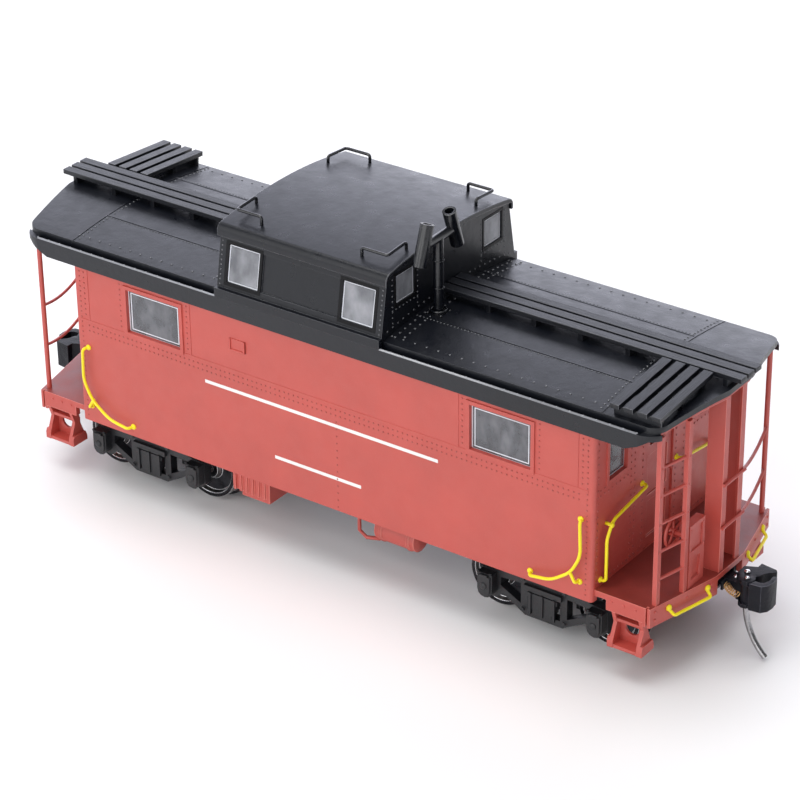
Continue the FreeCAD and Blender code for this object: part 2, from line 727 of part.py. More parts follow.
def cupola_end_windows(name):
    """Boxes through both cupola end walls at the four windows."""
    inner, outer = D.cupola_light_inner_y, D.cupola_light_outer_y
    z_span = (D.cupola_light_low, D.cupola_light_high)
    return [
        box(f"{name}_{index}", cupola_end_x(-1), span, z_span)
        for index, span in enumerate(((inner, outer), (-outer, -inner)))
    ]


def cupola_body():
    """Leaning side walls and upright end walls that stand through the roof."""
    outer = prism("cupola_outer", "YZ_Plane", cupola_profile(0), *cupola_end_x(0))
    inner = prism("cupola_inner", "YZ_Plane", cupola_profile(D.cupola_wall), *cupola_end_x(D.cupola_wall))
    recess = box("recess", (D.cupola_x - D.cupola_panel_half, D.cupola_x + D.cupola_panel_half),
                 (-17, 17), (D.cupola_window_low, D.cupola_window_high))
    recess_floor = prism("recess_floor", "YZ_Plane", cupola_profile(0.25), *cupola_end_x(0))
    recesses = cut("recesses", recess, recess_floor)
    holes = cupola_window_boxes("cupola_hole", 12, 17) + cupola_end_windows("cupola_end_hole")
    curb = box("cupola_curb", cupola_end_x(0), (-D.roof_half_width, D.roof_half_width),
               (D.gutter_floor, D.cupola_foot))
    crown = arch("cupola_crown", D.cupola_roof_radius - D.cupola_roof_thick,
                 D.cupola_roof_top - D.cupola_roof_thick, LONG)
    walls = common("cupola_walls", outer, crown)
    shell = cut("cupola_shell", fuse("cupola_solid", walls, curb), inner, recesses, *holes)
    return cut("cupola", shell, space_under_roof())


def space_under_roof():
    """Everything below the main roof's surface and its eaves, which the cupola stands on."""
    sheet_y = D.roof_half_width - 1.1
    block = prism("roof_under_block", "XY_Plane", roof_plan(sheet_y), 30, 41)
    crown = arch("roof_under_crown", D.roof_radius, D.roof_ridge, LONG)
    board_y = D.roof_half_width - EAVES_BOARD
    return fuse("roof_under", common("roof_under_arched", block, crown),
                box("trough_under", (-LONG, LONG), (-17, 17), (30, D.gutter_floor)),
                box("eaves_left", (-LONG, LONG), (board_y, 17), (30, D.fascia_high)),
                box("eaves_right", (-LONG, LONG), (-17, -board_y), (30, D.fascia_high)))


def cupola_roof():
    """An arched sheet with drip edges down to the wall heads."""
    half_width = D.cupola_roof_half_width
    half_length = D.cupola_roof_half_length
    section = [(half_width, 46.6), (half_width, 48.22), (0, 51.1), (-half_width, 48.22), (-half_width, 46.6)]
    ends = (D.cupola_x - half_length, D.cupola_x + half_length)
    block = prism("cupola_roof_block", "YZ_Plane", section, *ends)
    round_edges(block, "cupola_roof_eaves", 1.2,
                lambda edge: abs(edge.tangentAt(0).x) > 0.9 and 48 < edge.CenterOfMass.z < 49)
    outer = arch("cupola_roof_crown", D.cupola_roof_radius, D.cupola_roof_top, LONG)
    under = arch("cupola_roof_under", D.cupola_roof_radius - D.cupola_roof_thick,
                 D.cupola_roof_top - D.cupola_roof_thick, LONG)
    room_y = half_width - 0.45
    room = box("cupola_roof_room", (-LONG, LONG), (-room_y, room_y), (46, 51))
    return cut("cupola_roof", common("cupola_roof_arched", block, outer), common("cupola_room", under, room))


def cupola_glazing():
    """Panes that follow the leaning sides and the upright end walls."""
    inner_y = D.cupola_foot_y - D.cupola_wall
    slab = cut("glass_slab", prism("glass_outer", "YZ_Plane", cupola_profile(0.15), *cupola_end_x(0)),
               prism("glass_inner", "YZ_Plane", cupola_profile(1.1), *cupola_end_x(-1)))
    openings = cupola_window_boxes("glass_box", 12, inner_y + 2)
    side = common("side_glass", slab, fuse("side_glass_boxes", *openings))
    low, high = cupola_end_x(0.15)
    end_slabs = [
        box("end_slab_low", (low, low + D.glass), (-13, 13), (42, 48)),
        box("end_slab_high", (high - D.glass, high), (-13, 13), (42, 48)),
    ]
    panes = cupola_end_windows("cupola_end_pane")
    end = common("end_glass", fuse("end_slabs", *end_slabs), fuse("end_panes", *panes))
    return group("cupola_glass", side, end)


node("cupola_body", cupola_body())
node("cupola_roof", cupola_roof())
node("cupola_glazing", cupola_glazing())

# ---------------------------------------------------------------- end platforms


def sill_x(y):
    """The outer face of the end sill's slanting half, at a distance from the car's middle line."""
    run = D.sill_corner_y.number - D.sill_flat_y.number
    slope = (D.sill_middle_x.number - D.sill_corner_x.number) / run
    return D.sill_middle_x.number - slope * (y - D.sill_flat_y.number)


def end_platform():
    """The deck with its side sills and the bent end sill, open over the coupler."""
    wall_x = D.body_half_length
    outer = [(D.sill_middle_x, D.sill_flat_y), (D.sill_corner_x, D.sill_corner_y)]
    inner = [(x - D.sill_thick, y) for x, y in reversed(outer)]
    under_deck = D.deck_top - D.deck_thick
    plan = both_sides(outer + [(wall_x, D.sill_corner_y)])
    deck = prism("deck_plate", "XY_Plane", plan, under_deck, D.deck_top)
    end_sill = prism("end_sill", "XY_Plane", both_sides(outer + inner), D.sill_bottom, D.deck_top)
    side_x, side_end_x, side_z = wall_x + 1.8, 51.7, 10.0
    notched = [(wall_x, 11.5), (side_x, 11.5), (side_x, side_z), (side_end_x, side_z),
               (side_end_x, D.deck_top), (wall_x, D.deck_top)]
    left = prism("side_sill_left", "XZ_Plane", notched, D.sill_corner_y - 0.9, D.sill_corner_y)
    right = prism("side_sill_right", "XZ_Plane", notched, -D.sill_corner_y, 0.9 - D.sill_corner_y)
    slit = box("sill_slit", (51.75, 52.0), (D.sill_corner_y - 0.5, 16), (9, 13))
    slits = fuse("sill_slits", slit, flipped("sill_slit_mirrored", slit, (0, 1, 0)))
    mouth = box("coupler_mouth", (50, 57), (-3.2, 3.2), (9, under_deck))
    return cut("platform", fuse("platform_solid", deck, end_sill, left, right), mouth, slits)


def steps():
    """A pair of hung steps: flared side plates, a tread, a riser and a narrow upper step."""
    foot = [(-15.75, 6.3), (-15.95, 5.8), (-15.95, 4.8), (-12.9, 4.8), (-12.9, 5.6), (-13.2, 6.3)]
    plate = [(-14.0, 10.0), (-15.54, 10.0), (-14.95, 8.3)] + foot + [(-13.95, 8.2)]
    pieces = []
    for index, (x, flare) in enumerate(((46.6, -0.35), (50.7, 0.35))):
        span = (x, x + 0.55)
        flared = (span[0] + min(flare, 0), span[1] + max(flare, 0))
        pieces.append(prism(f"step_plate_{index}", "YZ_Plane", plate, *span))
        pieces.append(prism(f"step_flare_{index}", "YZ_Plane", foot, *flared))
    pieces.append(box("step_tread", (46.6, 51.25), (-15.85, -12.95), (4.8, 5.3)))
    riser = box("step_riser", (46.8, 51.0), (-14.0, -13.6), (5.1, 8.6))
    pieces.append(cut("step_back", riser, rod("step_hole", 1.05, (48.93, -14.5, 7.45), 1.5, "y")))
    pieces.append(box("step_upper", (46.8, 51.0), (-15.0, -13.7), (8.5, 8.95)))
    near = fuse("step", *pieces)
    return group("step_pair", near, flipped("step_mirrored", near, (0, 1, 0)))


def post_head_z(y):
    """The top of a post under the carline, at a distance from the car's middle line."""
    radius = D.roof_radius.number - D.roof_end_thick.number
    crown = D.roof_ridge.number - D.roof_end_thick.number
    carline = 0.85
    return crown - radius + math.sqrt(radius ** 2 - (y + 0.4) ** 2) - carline


def ladder():
    """Two stiles and five rungs from the end sill up to the roof."""
    stiles, rung_ends = [], []
    for index, y in enumerate((D.ladder_outer_y.number, D.ladder_inner_y.number)):
        x = sill_x(y) - 0.15
        y_span = (-y - D.post / 2, D.post / 2 - y)
        stiles.append(box(f"stile_{index}", (x - 0.65, x), y_span, (D.deck_top, post_head_z(y))))
        rung_ends.append((x - 0.3, -y))
    rungs = []
    for index in range(5):
        z = D.rung_low.number + D.rung_pitch.number * index
        line = Part.LineSegment(*(Vector(x, y, z) for x, y in rung_ends))
        rungs.append(swept(f"rung_{index}", Part.Wire(line.toShape()), D.wire))
    return fuse("ladder", *stiles, *rungs)


def centre_posts():
    """Two deep posts with front flanges beside the gate."""
    front = D.sill_middle_x - 0.25
    y = D.gate_post_y
    z_span = (D.deck_top, post_head_z(y.number))
    web = box("post_web", (52.5, front), (y - 0.4, y), z_span)
    flange = box("post_flange", (front - 0.35, front), (y - 1.15, y), z_span)
    post = fuse("gate_post", web, flange)
    return group("posts", post, flipped("gate_post_mirrored", post, (0, 1, 0)))


def corner_post():
    """A thin round post at the corner without a ladder."""
    y = D.corner_post_y
    return rod("corner_post", 0.36, (51.9, y, D.deck_top), post_head_z(y.number) - D.deck_top, "z")


def end_railing():
    """Two slack rails from the far centre post to the corner post, and two bars across the gate."""
    pieces = []
    sag = Vector(0, 0, 0.75)
    for index, z in enumerate((D.rail_high.number, D.rail_low.number)):
        ends = Vector(54.85, 2.9, z - 0.35), Vector(52.1, 13.83, z)
        middle = (ends[0] + ends[1]) / 2 - sag
        path = Part.Wire(Part.Arc(ends[0], middle, ends[1]).toShape())
        pieces.append(swept(f"slack_rail_{index}", path, D.wire))
        pieces.append(rod(f"gate_bar_{index}", D.wire / 2, (D.sill_middle_x, -2.7, z), 5.4, "y"))
    return group("railing", *pieces)


BRAKE_SHAFT = 0.35


def brake_stand():
    """The housing of the hand brake at the edge of the platform, with its wheel's shaft."""
    x, y, low, top = D.brake_x, D.brake_y, D.brake_case_low, D.brake_top
    width = (y - D.brake_half_width, y + D.brake_half_width)
    case = box("brake_case", (x - 1.3, x), width, (low, top))
    sunk = box("brake_sunk", (x - 0.25, x + 1), (y - 1.4, y + 1.4), (low + 0.6, top - 0.6))
    leg = box("brake_leg", (x - 1.0, x), width, (D.deck_top, low))
    slot = box("brake_slot", (x - 0.35, x + 1), (y - 1.1, y + 0.9), (D.deck_top + 1, low - 0.6))
    shaft_end = (D.brake_wheel_x, y, D.brake_wheel_z)
    shaft = rod("brake_shaft", BRAKE_SHAFT, shaft_end, x - D.brake_wheel_x - 1, "x")
    return cut("brake_stand", fuse("brake_solid", case, leg, shaft), sunk, slot)


def brake_wheel():
    """A spoked wheel on the brake shaft, facing the car."""
    centre = (D.brake_wheel_x, D.brake_y, D.brake_wheel_z)
    radius, spoke_count = 2.0, 5
    rim = doc.addObject("Part::Torus", "brake_rim")
    rim.Radius1 = radius
    rim.Radius2 = 0.24
    rim.Placement = Placement(Vector(0, 0, 0), TURN["x"])
    put(rim, *centre)
    hub = rod("brake_hub", 0.6, (centre[0] - 0.35, *centre[1:]), 0.7, "x")
    spokes = []
    for index in range(spoke_count):
        spoke = rod(f"brake_spoke_{index}", 0.16, centre, radius, "z")
        turn = Rotation(Vector(1, 0, 0), 360 / spoke_count * index)
        spoke.Placement = Placement(spoke.Placement.Base, turn)
        spokes.append(spoke)
    bore = rod("brake_bore", BRAKE_SHAFT, (centre[0] - 1, *centre[1:]), 2, "x")
    return cut("brake_wheel", fuse("brake_wheel_solid", rim, hub, *spokes), bore)


def side_grab():
    """A J-shaped grab iron round a lower corner of one side, with a short stay."""
    face = -D.body_half_width.number
    out = face - 0.9
    hook = [(41.9, face + 0.2, 22.7), (42.3, out, 22.7), (42.5, out, 17.6), (41.0, out, 14.7),
            (38.0, out, 12.5), (34.6, out, 12.0), (34.2, face + 0.2, 12.1)]
    stay = [(40.8, out + 0.05, 14.9), (41.7, out, 13.4), (41.9, face + 0.2, 13.2)]
    hook_wire = bent_rod("grab_hook", hook, D.wire, (0.55, 5, 5, 5, 0.55))
    stay_wire = bent_rod("grab_stay", stay, D.wire, 0.3)
    return fuse("side_grab", hook_wire, stay_wire)


def end_grabs():
    """The curved rails beside the end door and the grab irons under the end sill's edge."""
    face = D.body_half_length.number
    out = face + 0.9
    rail = [(face - 0.2, -4.3, 23.1), (out, -4.3, 23.1), (out, -12.9, 21.9), (out, -14.2, 19.6),
            (out, -14.2, 13.3), (face - 0.2, -14.2, 13.3)]
    wall_rail = bent_rod("wall_rail", rail, D.wire, (0.5, 2, 2, 0.5))
    sill_route = [(sill_x(12.2) - 0.3, -12.2, 11.3), (sill_x(12) + 0.8, -12.0, 10.3),
                  (sill_x(5.4) + 0.8, -5.4, 10.3), (sill_x(5.2) - 0.3, -5.2, 11.3)]
    sill_grab = bent_rod("sill_grab", sill_route, D.wire, 0.4)
    pieces = [wall_rail, sill_grab]
    pieces += [flipped(f"end_grab_mirrored_{index}", piece, (0, 1, 0)) for index, piece in enumerate(pieces)]
    return group("end_grabs", *pieces)


node_at_each_end("end_platform", end_platform())
node_at_each_end("steps", steps())
node_at_each_end("ladder", ladder())
node_at_each_end("centre_posts", centre_posts())
near_post = corner_post()
node("corner_posts", group("corner_post_pair", near_post, turned("corner_post_turned", near_post)))
node_at_each_end("end_railing", end_railing())
node_at_each_end("brake_stand", brake_stand())
node_at_each_end("brake_wheel", brake_wheel())
grab = side_grab()
end_pair = group("side_grab_pair", grab, flipped("side_grab_across", grab, (0, 1, 0)))
node("side_grab_irons", group("side_grabs", end_pair, flipped("side_grab_along", end_pair, (1, 0, 0))))
node_at_each_end("end_grab_irons", end_grabs())

# ---------------------------------------------------------------- brake gear under the floor


def tool_box():
    """A ribbed battery and tool box that hangs beside the side sill."""
    case = box("tool_case", (-17.6, -11.0), (-14.2, -9.0), (6.0, D.floor_low))
    step = box("tool_step", (-18, -16.0), (-15, -8), (5, 6.7))
    ribs = []
    for index in range(6):
        x = -17.3 + 1.05 * index
        ribs.append(box(f"tool_rib_{index}", (x, x + 0.4), (-14.5, -14.2), (6.7, 11.0)))
    return cut("tool_box", fuse("tool_solid", case, *ribs), step)


def tank(name, radius, x_span, y, z):
    """A reservoir with stepped ends on two hangers."""
    start, end = x_span
    shell = rod(f"{name}_shell", radius, (start, y, z), end - start, "x")
    bands = [rod(f"{name}_band_{index}", radius + 0.15, (x, y, z), 0.4, "x")
             for index, x in enumerate((start + 0.8, end - 1.2))]
    caps = [cone(f"{name}_cap_low", radius * 0.55, radius, (start - 0.5, y, z), 0.5, "x"),
            cone(f"{name}_cap_high", radius, radius * 0.55, (end, y, z), 0.5, "x")]
    hangers = [box(f"{name}_hanger_{index}", (x, x + 0.6), (y - 0.9, y + 0.9), (z, D.floor_low))
               for index, x in enumerate((start + 0.7, end - 1.3))]
    return fuse(name, shell, *bands, *caps, *hangers)


def brake_cylinder():
    """The air brake cylinder with its rod and lever."""
    y, z = 9.5, 8.6
    body = tank("cylinder_body", 1.9, (-6.0, -1.0), y, z)
    push_rod = rod("cylinder_rod", 0.3, (-0.6, y, z), 5.0, "x")
    lever = box("cylinder_lever", (3.6, 4.2), (3.4, 10.2), (z - 0.3, z + 0.3))
    return fuse("cylinder", body, push_rod, lever)


node("tool_box", tool_box())
node("air_reservoir", tank("reservoir", 1.95, (6.6, 13.2), -11.4, 7.4))
node("brake_cylinder", brake_cylinder())

# ---------------------------------------------------------------- trucks

JOURNAL_X = D.wheelbase / 2
CUP_DEPTH = 1.45


def journal_outline(x, half, low, high):
    """A square-topped outline with a rounded bottom."""
    points = [(x + half, high)]
    for step in range(7):
        angle = math.pi * step / 6
        points.append((x + half * math.cos(angle), low + half - half * math.sin(angle)))
    return points + [(x - half, high)]


def side_frame():
    """One cast side frame: journal boxes, a drop-centre lower chord, and a leaf spring in the middle."""
    body = doc.addObject("PartDesign::Body", "frame_plate")
    half = [(3.6, 8.6), (7.4, 7.8), (10.1, 7.6), (10.1, 4.2), (9.3, 3.4), (7.6, 3.4), (6.6, 4.4), (3.0, 2.3)]
    points = half + [(-x, z) for x, z in reversed(half)]
    pad(body, "frame_pad", "XZ_Plane", points, D.frame_inner_y, D.frame_outer_y)
    opening = [(6.9, 6.9), (3.7, 7.1), (3.7, 3.9), (7.0, 5.6)]
    spring_bay = rectangle((-2.6, 2.6), (3.3, 6.4))
    tools = []
    for index, points in enumerate((opening, [(-x, z) for x, z in opening], spring_bay)):
        tools.append(prism(f"frame_opening_{index}", "XZ_Plane", points, 10, 15))
    plate = cut("frame_open", body, *tools)
    leaves = []
    for index in range(5):
        z = 3.3 + index * 0.62
        reach = 1.5 + 0.22 * index
        leaves.append(box(f"leaf_{index}", (-reach, reach), (D.frame_inner_y + 0.4, D.frame_outer_y + 0.5),
                          (z, z + 0.64)))
    boxes = []
    for index, way in enumerate((-1, 1)):
        x = JOURNAL_X * way
        boxes.append(prism(f"journal_{index}", "XZ_Plane", journal_outline(x, 1.2, 3.7, 7.5),
                           D.frame_outer_y, D.journal_outer_y - 0.3))
        boxes.append(prism(f"journal_lid_{index}", "XZ_Plane", journal_outline(x, 0.95, 4.0, 7.1),
                           D.journal_outer_y - 0.3, D.journal_outer_y))
    cap = box("spring_cap", (-3.0, 3.0), (D.frame_outer_y, D.frame_outer_y + 0.5), (6.6, 7.4))
    solid = fuse("frame_solid", plate, *leaves, *boxes, cap)
    cups = []
    for index, way in enumerate((-1, 1)):
        start = (JOURNAL_X * way, D.frame_inner_y, D.flange_radius)
        cups.append(cone(f"cup_{index}", 0.95, 0.12, start, CUP_DEPTH, "y"))
    return cut("frame", solid, *cups)


def bolster():
    """The cross-piece between the side frames, with a centre plate and brake beams."""
    low, high = 6.9, 8.4
    beam = box("bolster_beam", (-2.3, 2.3), (-D.frame_inner_y, D.frame_inner_y), (low, high))
    plate = rod("centre_plate", 3.2, (0, 0, high), D.bolster_top - high, "z")
    bore = rod("bolster_bore", D.truck_screw_radius + D.running_fit, (0, 0, 6), 4, "z")
    brake_beams = box("brake_beams", (-2.9, 2.9), (-7.0, 7.0), (low, low + 0.8))
    return cut("bolster", fuse("bolster_solid", beam, plate, brake_beams), bore)


def wheel():
    """One wheel on the +Y side as a revolved section: tread, flange, plate and hub."""
    body = doc.addObject("PartDesign::Body", "wheel_body")
    inner = D.back_to_back / 2
    outer = inner + D.wheel_width
    section = [
        (inner, D.axle_radius), (inner, 1.7), (inner + 0.5, 2.0), (inner + 0.5, 4.0), (inner, 4.2),
        (inner, D.flange_radius - 0.15), (inner + 0.15, D.flange_radius),
        (inner + 0.4, D.flange_radius), (inner + 0.75, D.tread_radius + 0.1), (outer, D.tread_radius - 0.05),
        (outer, 4.1), (outer - 0.7, 3.9), (outer - 0.7, 2.0), (outer, 1.6), (outer, D.axle_radius),
    ]
    sketch = plane_sketch(body, "wheel_section", "YZ_Plane")
    outline(sketch, section)
    turn = body.newObject("PartDesign::Revolution", "wheel_turn")
    turn.Profile = sketch
    turn.ReferenceAxis = (sketch, ["H_Axis"])
    turn.Angle = 360
    body.Tip = turn
    return body


def axle():
    """An axle with pointed ends that run in the side frames' cups."""
    straight = D.frame_inner_y + 0.1
    pieces = [rod("axle_bar", D.axle_radius, (0, -straight, 0), straight * 2, "y")]
    tip = D.axle_half_length - straight
    pieces.append(cone("axle_tip_left", 0.75, 0.06, (0, straight, 0), tip, "y"))
    pieces.append(cone("axle_tip_right", 0.06, 0.75, (0, -D.axle_half_length, 0), tip, "y"))
    return fuse("axle", *pieces)


frame_left = side_frame()
frames = group("frames", frame_left, flipped("frame_mirrored", frame_left, (0, 1, 0)))
wheel_left = wheel()
wheels = group("wheels", wheel_left, flipped("wheel_mirrored", wheel_left, (0, 1, 0)))
truck_bolster = bolster()
axle_bar = axle()

for letter, way in (("a", 1), ("b", -1)):
    centre = D.truck_x * way
    for label, source in (("bolster", truck_bolster), ("side_frames", frames)):
        copy = group(f"{label}_at_{letter}", source)
        put(copy, centre, 0, 0)
        node(f"{label}_{letter}", copy)

for number, x in enumerate((D.truck_x + JOURNAL_X, D.truck_x - JOURNAL_X), 1):
    for offset, place in ((0, x), (2, -x)):
        for label, source in (("axle", axle_bar), ("wheels", wheels)):
            copy = group(f"{label}_at_{number + offset}", source)
            put(copy, place, 0, D.flange_radius)
            node(f"{label}_{number + offset}", copy)


def truck_screws():
    """Screws from below through each bolster into the floor's pads."""
    screws = []
    for index, x in enumerate((D.truck_x, -D.truck_x)):
        shank = rod(f"truck_shank_{index}", D.truck_screw_radius, (x, 0, 6.2), D.floor_low - 6.2, "z")
        head = rod(f"truck_head_{index}", 1.8, (x, 0, 5.75), 1.1, "z")
        slot = box(f"truck_slot_{index}", (x - 2, x + 2), (-0.2, 0.2), (5.7, 6.1))
        screws.append(cut(f"truck_screw_{index}", fuse(f"truck_screw_solid_{index}", shank, head), slot))
    return group("truck_screw_pair", *screws)


node("truck_screws", truck_screws())

# ---------------------------------------------------------------- couplers

DRAFT_ROOM_Y = 2.5
DRAFT_SCREW = 0.55
SHANK_HALF = 0.6
SPRING_FROM = Vector(55.65, -1.68, 10.15)
SPRING_TO = Vector(57.85, -2.15, 10.05)
LUG = 0.6
KNUCKLE_EYE = 0.8
TRIP_WIRE = 0.84


def coupler_box():
    """The draft box under the platform with the post that the coupler turns on."""
    x, z = D.coupler_pivot_x, D.coupler_z
    case = box("draft_case", (x - 4.2, x + 3.5), (-3.1, 3.1), (z - 1, D.deck_top - D.deck_thick))
    cavity = box("draft_cavity", (x - 3.4, x + 5), (-DRAFT_ROOM_Y, DRAFT_ROOM_Y), (z - 0.65, z + 0.7))
    post = rod("draft_post", D.pivot_radius, (x, 0, z - 0.8), 1.6, "z")
    bore = rod("draft_bore", DRAFT_SCREW, (x, 0, z - 2), 2.8, "z")
    return cut("draft_box", fuse("draft_solid", cut("draft_open", case, cavity), post), bore)


def coupler_head():
    """The shank and the head with its guard arm and the two lugs that hold the knuckle."""
    x, z = D.coupler_pivot_x, D.coupler_z
    shank_z = (z - SHANK_HALF, z + SHANK_HALF)
    shank = box("shank_bar", (x, D.trip_x + 0.2), (-1.1, 1.1), shank_z)
    eye = rod("shank_eye", 1.9, (x, 0, shank_z[0]), 2 * SHANK_HALF, "z")
    hole = rod("shank_hole", D.pivot_radius + D.running_fit, (x, 0, 8), 4, "z")
    arm = [(56.9, -1.1), (56.9, 0.95), (58.5, 1.75), (58.5, 2.75), (60.9, 2.45), (61.25, 2.0), (60.5, 1.35),
           (60.0, 0.7), (59.85, -0.1), (59.45, -0.6), (58.6, -0.62), (58.2, -0.9), (57.8, -1.1)]
    head = prism("head_block", "XY_Plane", arm, D.head_low, D.head_high)
    about_pin = [(-1.45, 1.05), (-1.25, 0.05), (-0.85, -0.65), (-0.25, -1.0), (0.45, -0.9), (0.95, -0.35),
                 (1.0, 0.35), (0.65, 1.05)]
    lug = [(D.knuckle_x + u, D.knuckle_y + v) for u, v in about_pin]
    low, high = D.head_low + LUG, D.head_high - LUG
    lugs = [prism("lug_low", "XY_Plane", lug, D.head_low, low),
            prism("lug_high", "XY_Plane", lug, high, D.head_high)]
    room = rod("knuckle_room", KNUCKLE_EYE + 0.12, (D.knuckle_x, D.knuckle_y, low), high - low, "z")
    pin = rod("knuckle_pin", D.knuckle_pin, (D.knuckle_x, D.knuckle_y, 8.25), 4.1, "z")
    horn = box("spring_horn", (SPRING_FROM.x - 0.45, SPRING_FROM.x - 0.15), (-2.25, -1), shank_z)
    trip_hole = rod("trip_hole", TRIP_WIRE / 2 + 0.01, (D.trip_x, D.trip_y, 7), 7, "z")
    open_head = cut("head_open", fuse("head_solid", shank, eye, head, *lugs, horn), hole, room, trip_hole)
    return fuse("coupler", open_head, pin)


def knuckle():
    """The hooked jaw that turns on the head's pin: an eye between the lugs and a full-height hook."""
    low, high = D.head_low + LUG + 0.05, D.head_high - LUG - 0.05
    eye = rod("knuckle_eye", KNUCKLE_EYE, (D.knuckle_x, D.knuckle_y, low), high - low, "z")
    link = [(58.9, -2.3), (59.75, -2.45), (60.3, -1.9), (60.3, -1.45), (59.9, -1.05), (59.3, -0.95),
            (58.9, -0.8)]
    arm = prism("knuckle_link", "XY_Plane", link, low, high)
    hook = [(59.6, -2.55), (61.3, -2.35), (61.95, -1.55), (62.1, -0.4), (61.95, 0.75), (61.6, 1.0),
            (61.3, 0.8), (61.45, -0.35), (61.15, -1.25), (60.6, -1.5), (60.05, -1.5)]
    jaw = prism("knuckle_jaw", "XY_Plane", hook, D.head_low, D.head_high)
    hole = rod("knuckle_hole", D.knuckle_pin + D.running_fit, (D.knuckle_x, D.knuckle_y, 8), 5, "z")
    return cut("knuckle", fuse("knuckle_solid", eye, arm, jaw), hole)


def trip_pin():
    """The curved steel pin that hangs under the coupler."""
    x, y = D.trip_x.number, D.trip_y.number
    top = Vector(x, y, 12.4)
    low = Vector(x, y, 7.3)
    bend = Vector(x + 1.15, y - 0.3, 3.4)
    tip = Vector(x + 3.7, y - 0.7, 0.55)
    edges = [Part.LineSegment(top, low).toShape(), Part.Arc(low, bend, tip).toShape()]
    return swept("trip_wire", Part.Wire(edges), TRIP_WIRE)


def knuckle_spring():
    """The space of the small coil spring between the shank's horn and the knuckle's eye."""
    along = SPRING_TO - SPRING_FROM
    pieces = []
    for name, radius in (("spring_outer", 0.55), ("spring_inner", 0.32)):
        piece = rod(name, radius, SPRING_FROM, along.Length, "z")
        piece.Placement = Placement(Vector(0, 0, 0), Rotation(Vector(0, 0, 1), along))
        put(piece, *SPRING_FROM)
        pieces.append(piece)
    return cut("spring", *pieces)


def centring_springs():
    """Leaf springs against the inner sides of each draft box."""
    x, z = D.coupler_pivot_x, D.coupler_z
    leaf = box("centring_leaf", (x - 2.5, x + 2), (DRAFT_ROOM_Y - 0.12, DRAFT_ROOM_Y), (z - 0.5, z + 0.5))
    pair = group("centring_pair", leaf, flipped("centring_mirrored", leaf, (0, 1, 0)))
    return group("centring", pair, turned("centring_turned", pair))


def coupler_screws():
    """Screws that go up through the draft boxes' posts."""
    x, z = D.coupler_pivot_x, D.coupler_z
    shank = rod("draft_shank", DRAFT_SCREW, (x, 0, z - 1.1), 1.8, "z")
    head = rod("draft_head", 1.4, (x, 0, z - 1.7), 0.7, "z")
    slot = box("draft_slot", (x - 2, x + 2), (-0.15, 0.15), (z - 1.8, z - 1.4))
    screw = cut("draft_screw", fuse("draft_screw_solid", shank, head), slot)
    return group("draft_screws", screw, turned("draft_screw_turned", screw))


node_at_each_end("coupler_box", coupler_box())
node("coupler_screws", coupler_screws())
node("centring_springs", centring_springs())
node_at_each_end("coupler_head", coupler_head())
node_at_each_end("knuckle", knuckle())
node_at_each_end("trip_pin", trip_pin())
node_at_each_end("knuckle_spring", knuckle_spring())

# ---------------------------------------------------------------- checks and files

doc.recompute()
for piece in doc.Objects:
    if "Invalid" in piece.State or "Error" in piece.State:
        raise RuntimeError(f"{piece.Name} failed: {piece.State}")
for piece in NODES:
    if piece.Shape.isNull() or not piece.Shape.isValid():
        raise RuntimeError(f"{piece.Label} has no valid shape")

os.makedirs("parts", exist_ok=True)
for piece in NODES:
    piece.Shape.exportStep(f"parts/{piece.Label}.step")
    print(piece.Label, len(piece.Shape.Solids), "solids", round(piece.Shape.Volume, 2), "mm3")
print(len(NODES), "nodes")
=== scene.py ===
"""Looks of a model caboose: materials for its moulded parts, and the fine detail that stands on them."""

import math

import bmesh
import bpy
from mathutils import Matrix, Vector

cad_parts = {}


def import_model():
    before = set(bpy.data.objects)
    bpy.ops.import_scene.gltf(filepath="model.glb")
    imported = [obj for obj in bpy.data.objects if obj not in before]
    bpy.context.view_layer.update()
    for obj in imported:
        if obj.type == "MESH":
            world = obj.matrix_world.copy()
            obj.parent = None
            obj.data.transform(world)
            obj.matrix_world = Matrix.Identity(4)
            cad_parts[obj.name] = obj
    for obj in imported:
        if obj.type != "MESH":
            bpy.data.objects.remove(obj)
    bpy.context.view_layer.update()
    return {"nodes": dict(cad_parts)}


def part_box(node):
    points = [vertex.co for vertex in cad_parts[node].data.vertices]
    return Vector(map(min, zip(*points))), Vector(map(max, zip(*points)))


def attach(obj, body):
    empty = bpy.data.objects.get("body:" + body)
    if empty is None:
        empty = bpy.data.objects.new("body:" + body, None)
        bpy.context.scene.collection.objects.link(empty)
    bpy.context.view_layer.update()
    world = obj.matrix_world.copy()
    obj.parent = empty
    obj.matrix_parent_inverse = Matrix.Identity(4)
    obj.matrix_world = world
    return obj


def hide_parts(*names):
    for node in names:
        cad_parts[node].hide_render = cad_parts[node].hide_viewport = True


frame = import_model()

# ---------------------------------------------------------------- sizes, in metres

MM = 0.001
BODY_X = 43.9 * MM
BODY_Y = 16.0 * MM
BODY_LOW = 10.5 * MM
EAVES_LOW = 35.5 * MM
BELT = 27.1 * MM
WINDOW_INNER = 24.0 * MM
WINDOW_OUTER = 34.6 * MM
WINDOW_MIDDLE = 30.85 * MM
RIDGE = 40.1 * MM
ROOF_RADIUS = 92 * MM
SEAM_Y = 7.7 * MM
CUPOLA_LOW, CUPOLA_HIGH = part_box("cupola_body")
CUPOLA_FOOT_Y, CUPOLA_HEAD_Y = 15.75 * MM, 14.3 * MM
CUPOLA_FOOT, CUPOLA_HEAD = 39.4 * MM, 47.6 * MM
TRUCK_X = 34.2 * MM
AXLE_X = 17.5 / 2
ENDS = (("a", 1), ("b", -1))


def roof_z(y):
    """The height of the main roof's surface at a distance from the middle line."""
    return RIDGE - ROOF_RADIUS + math.sqrt(ROOF_RADIUS ** 2 - y ** 2)


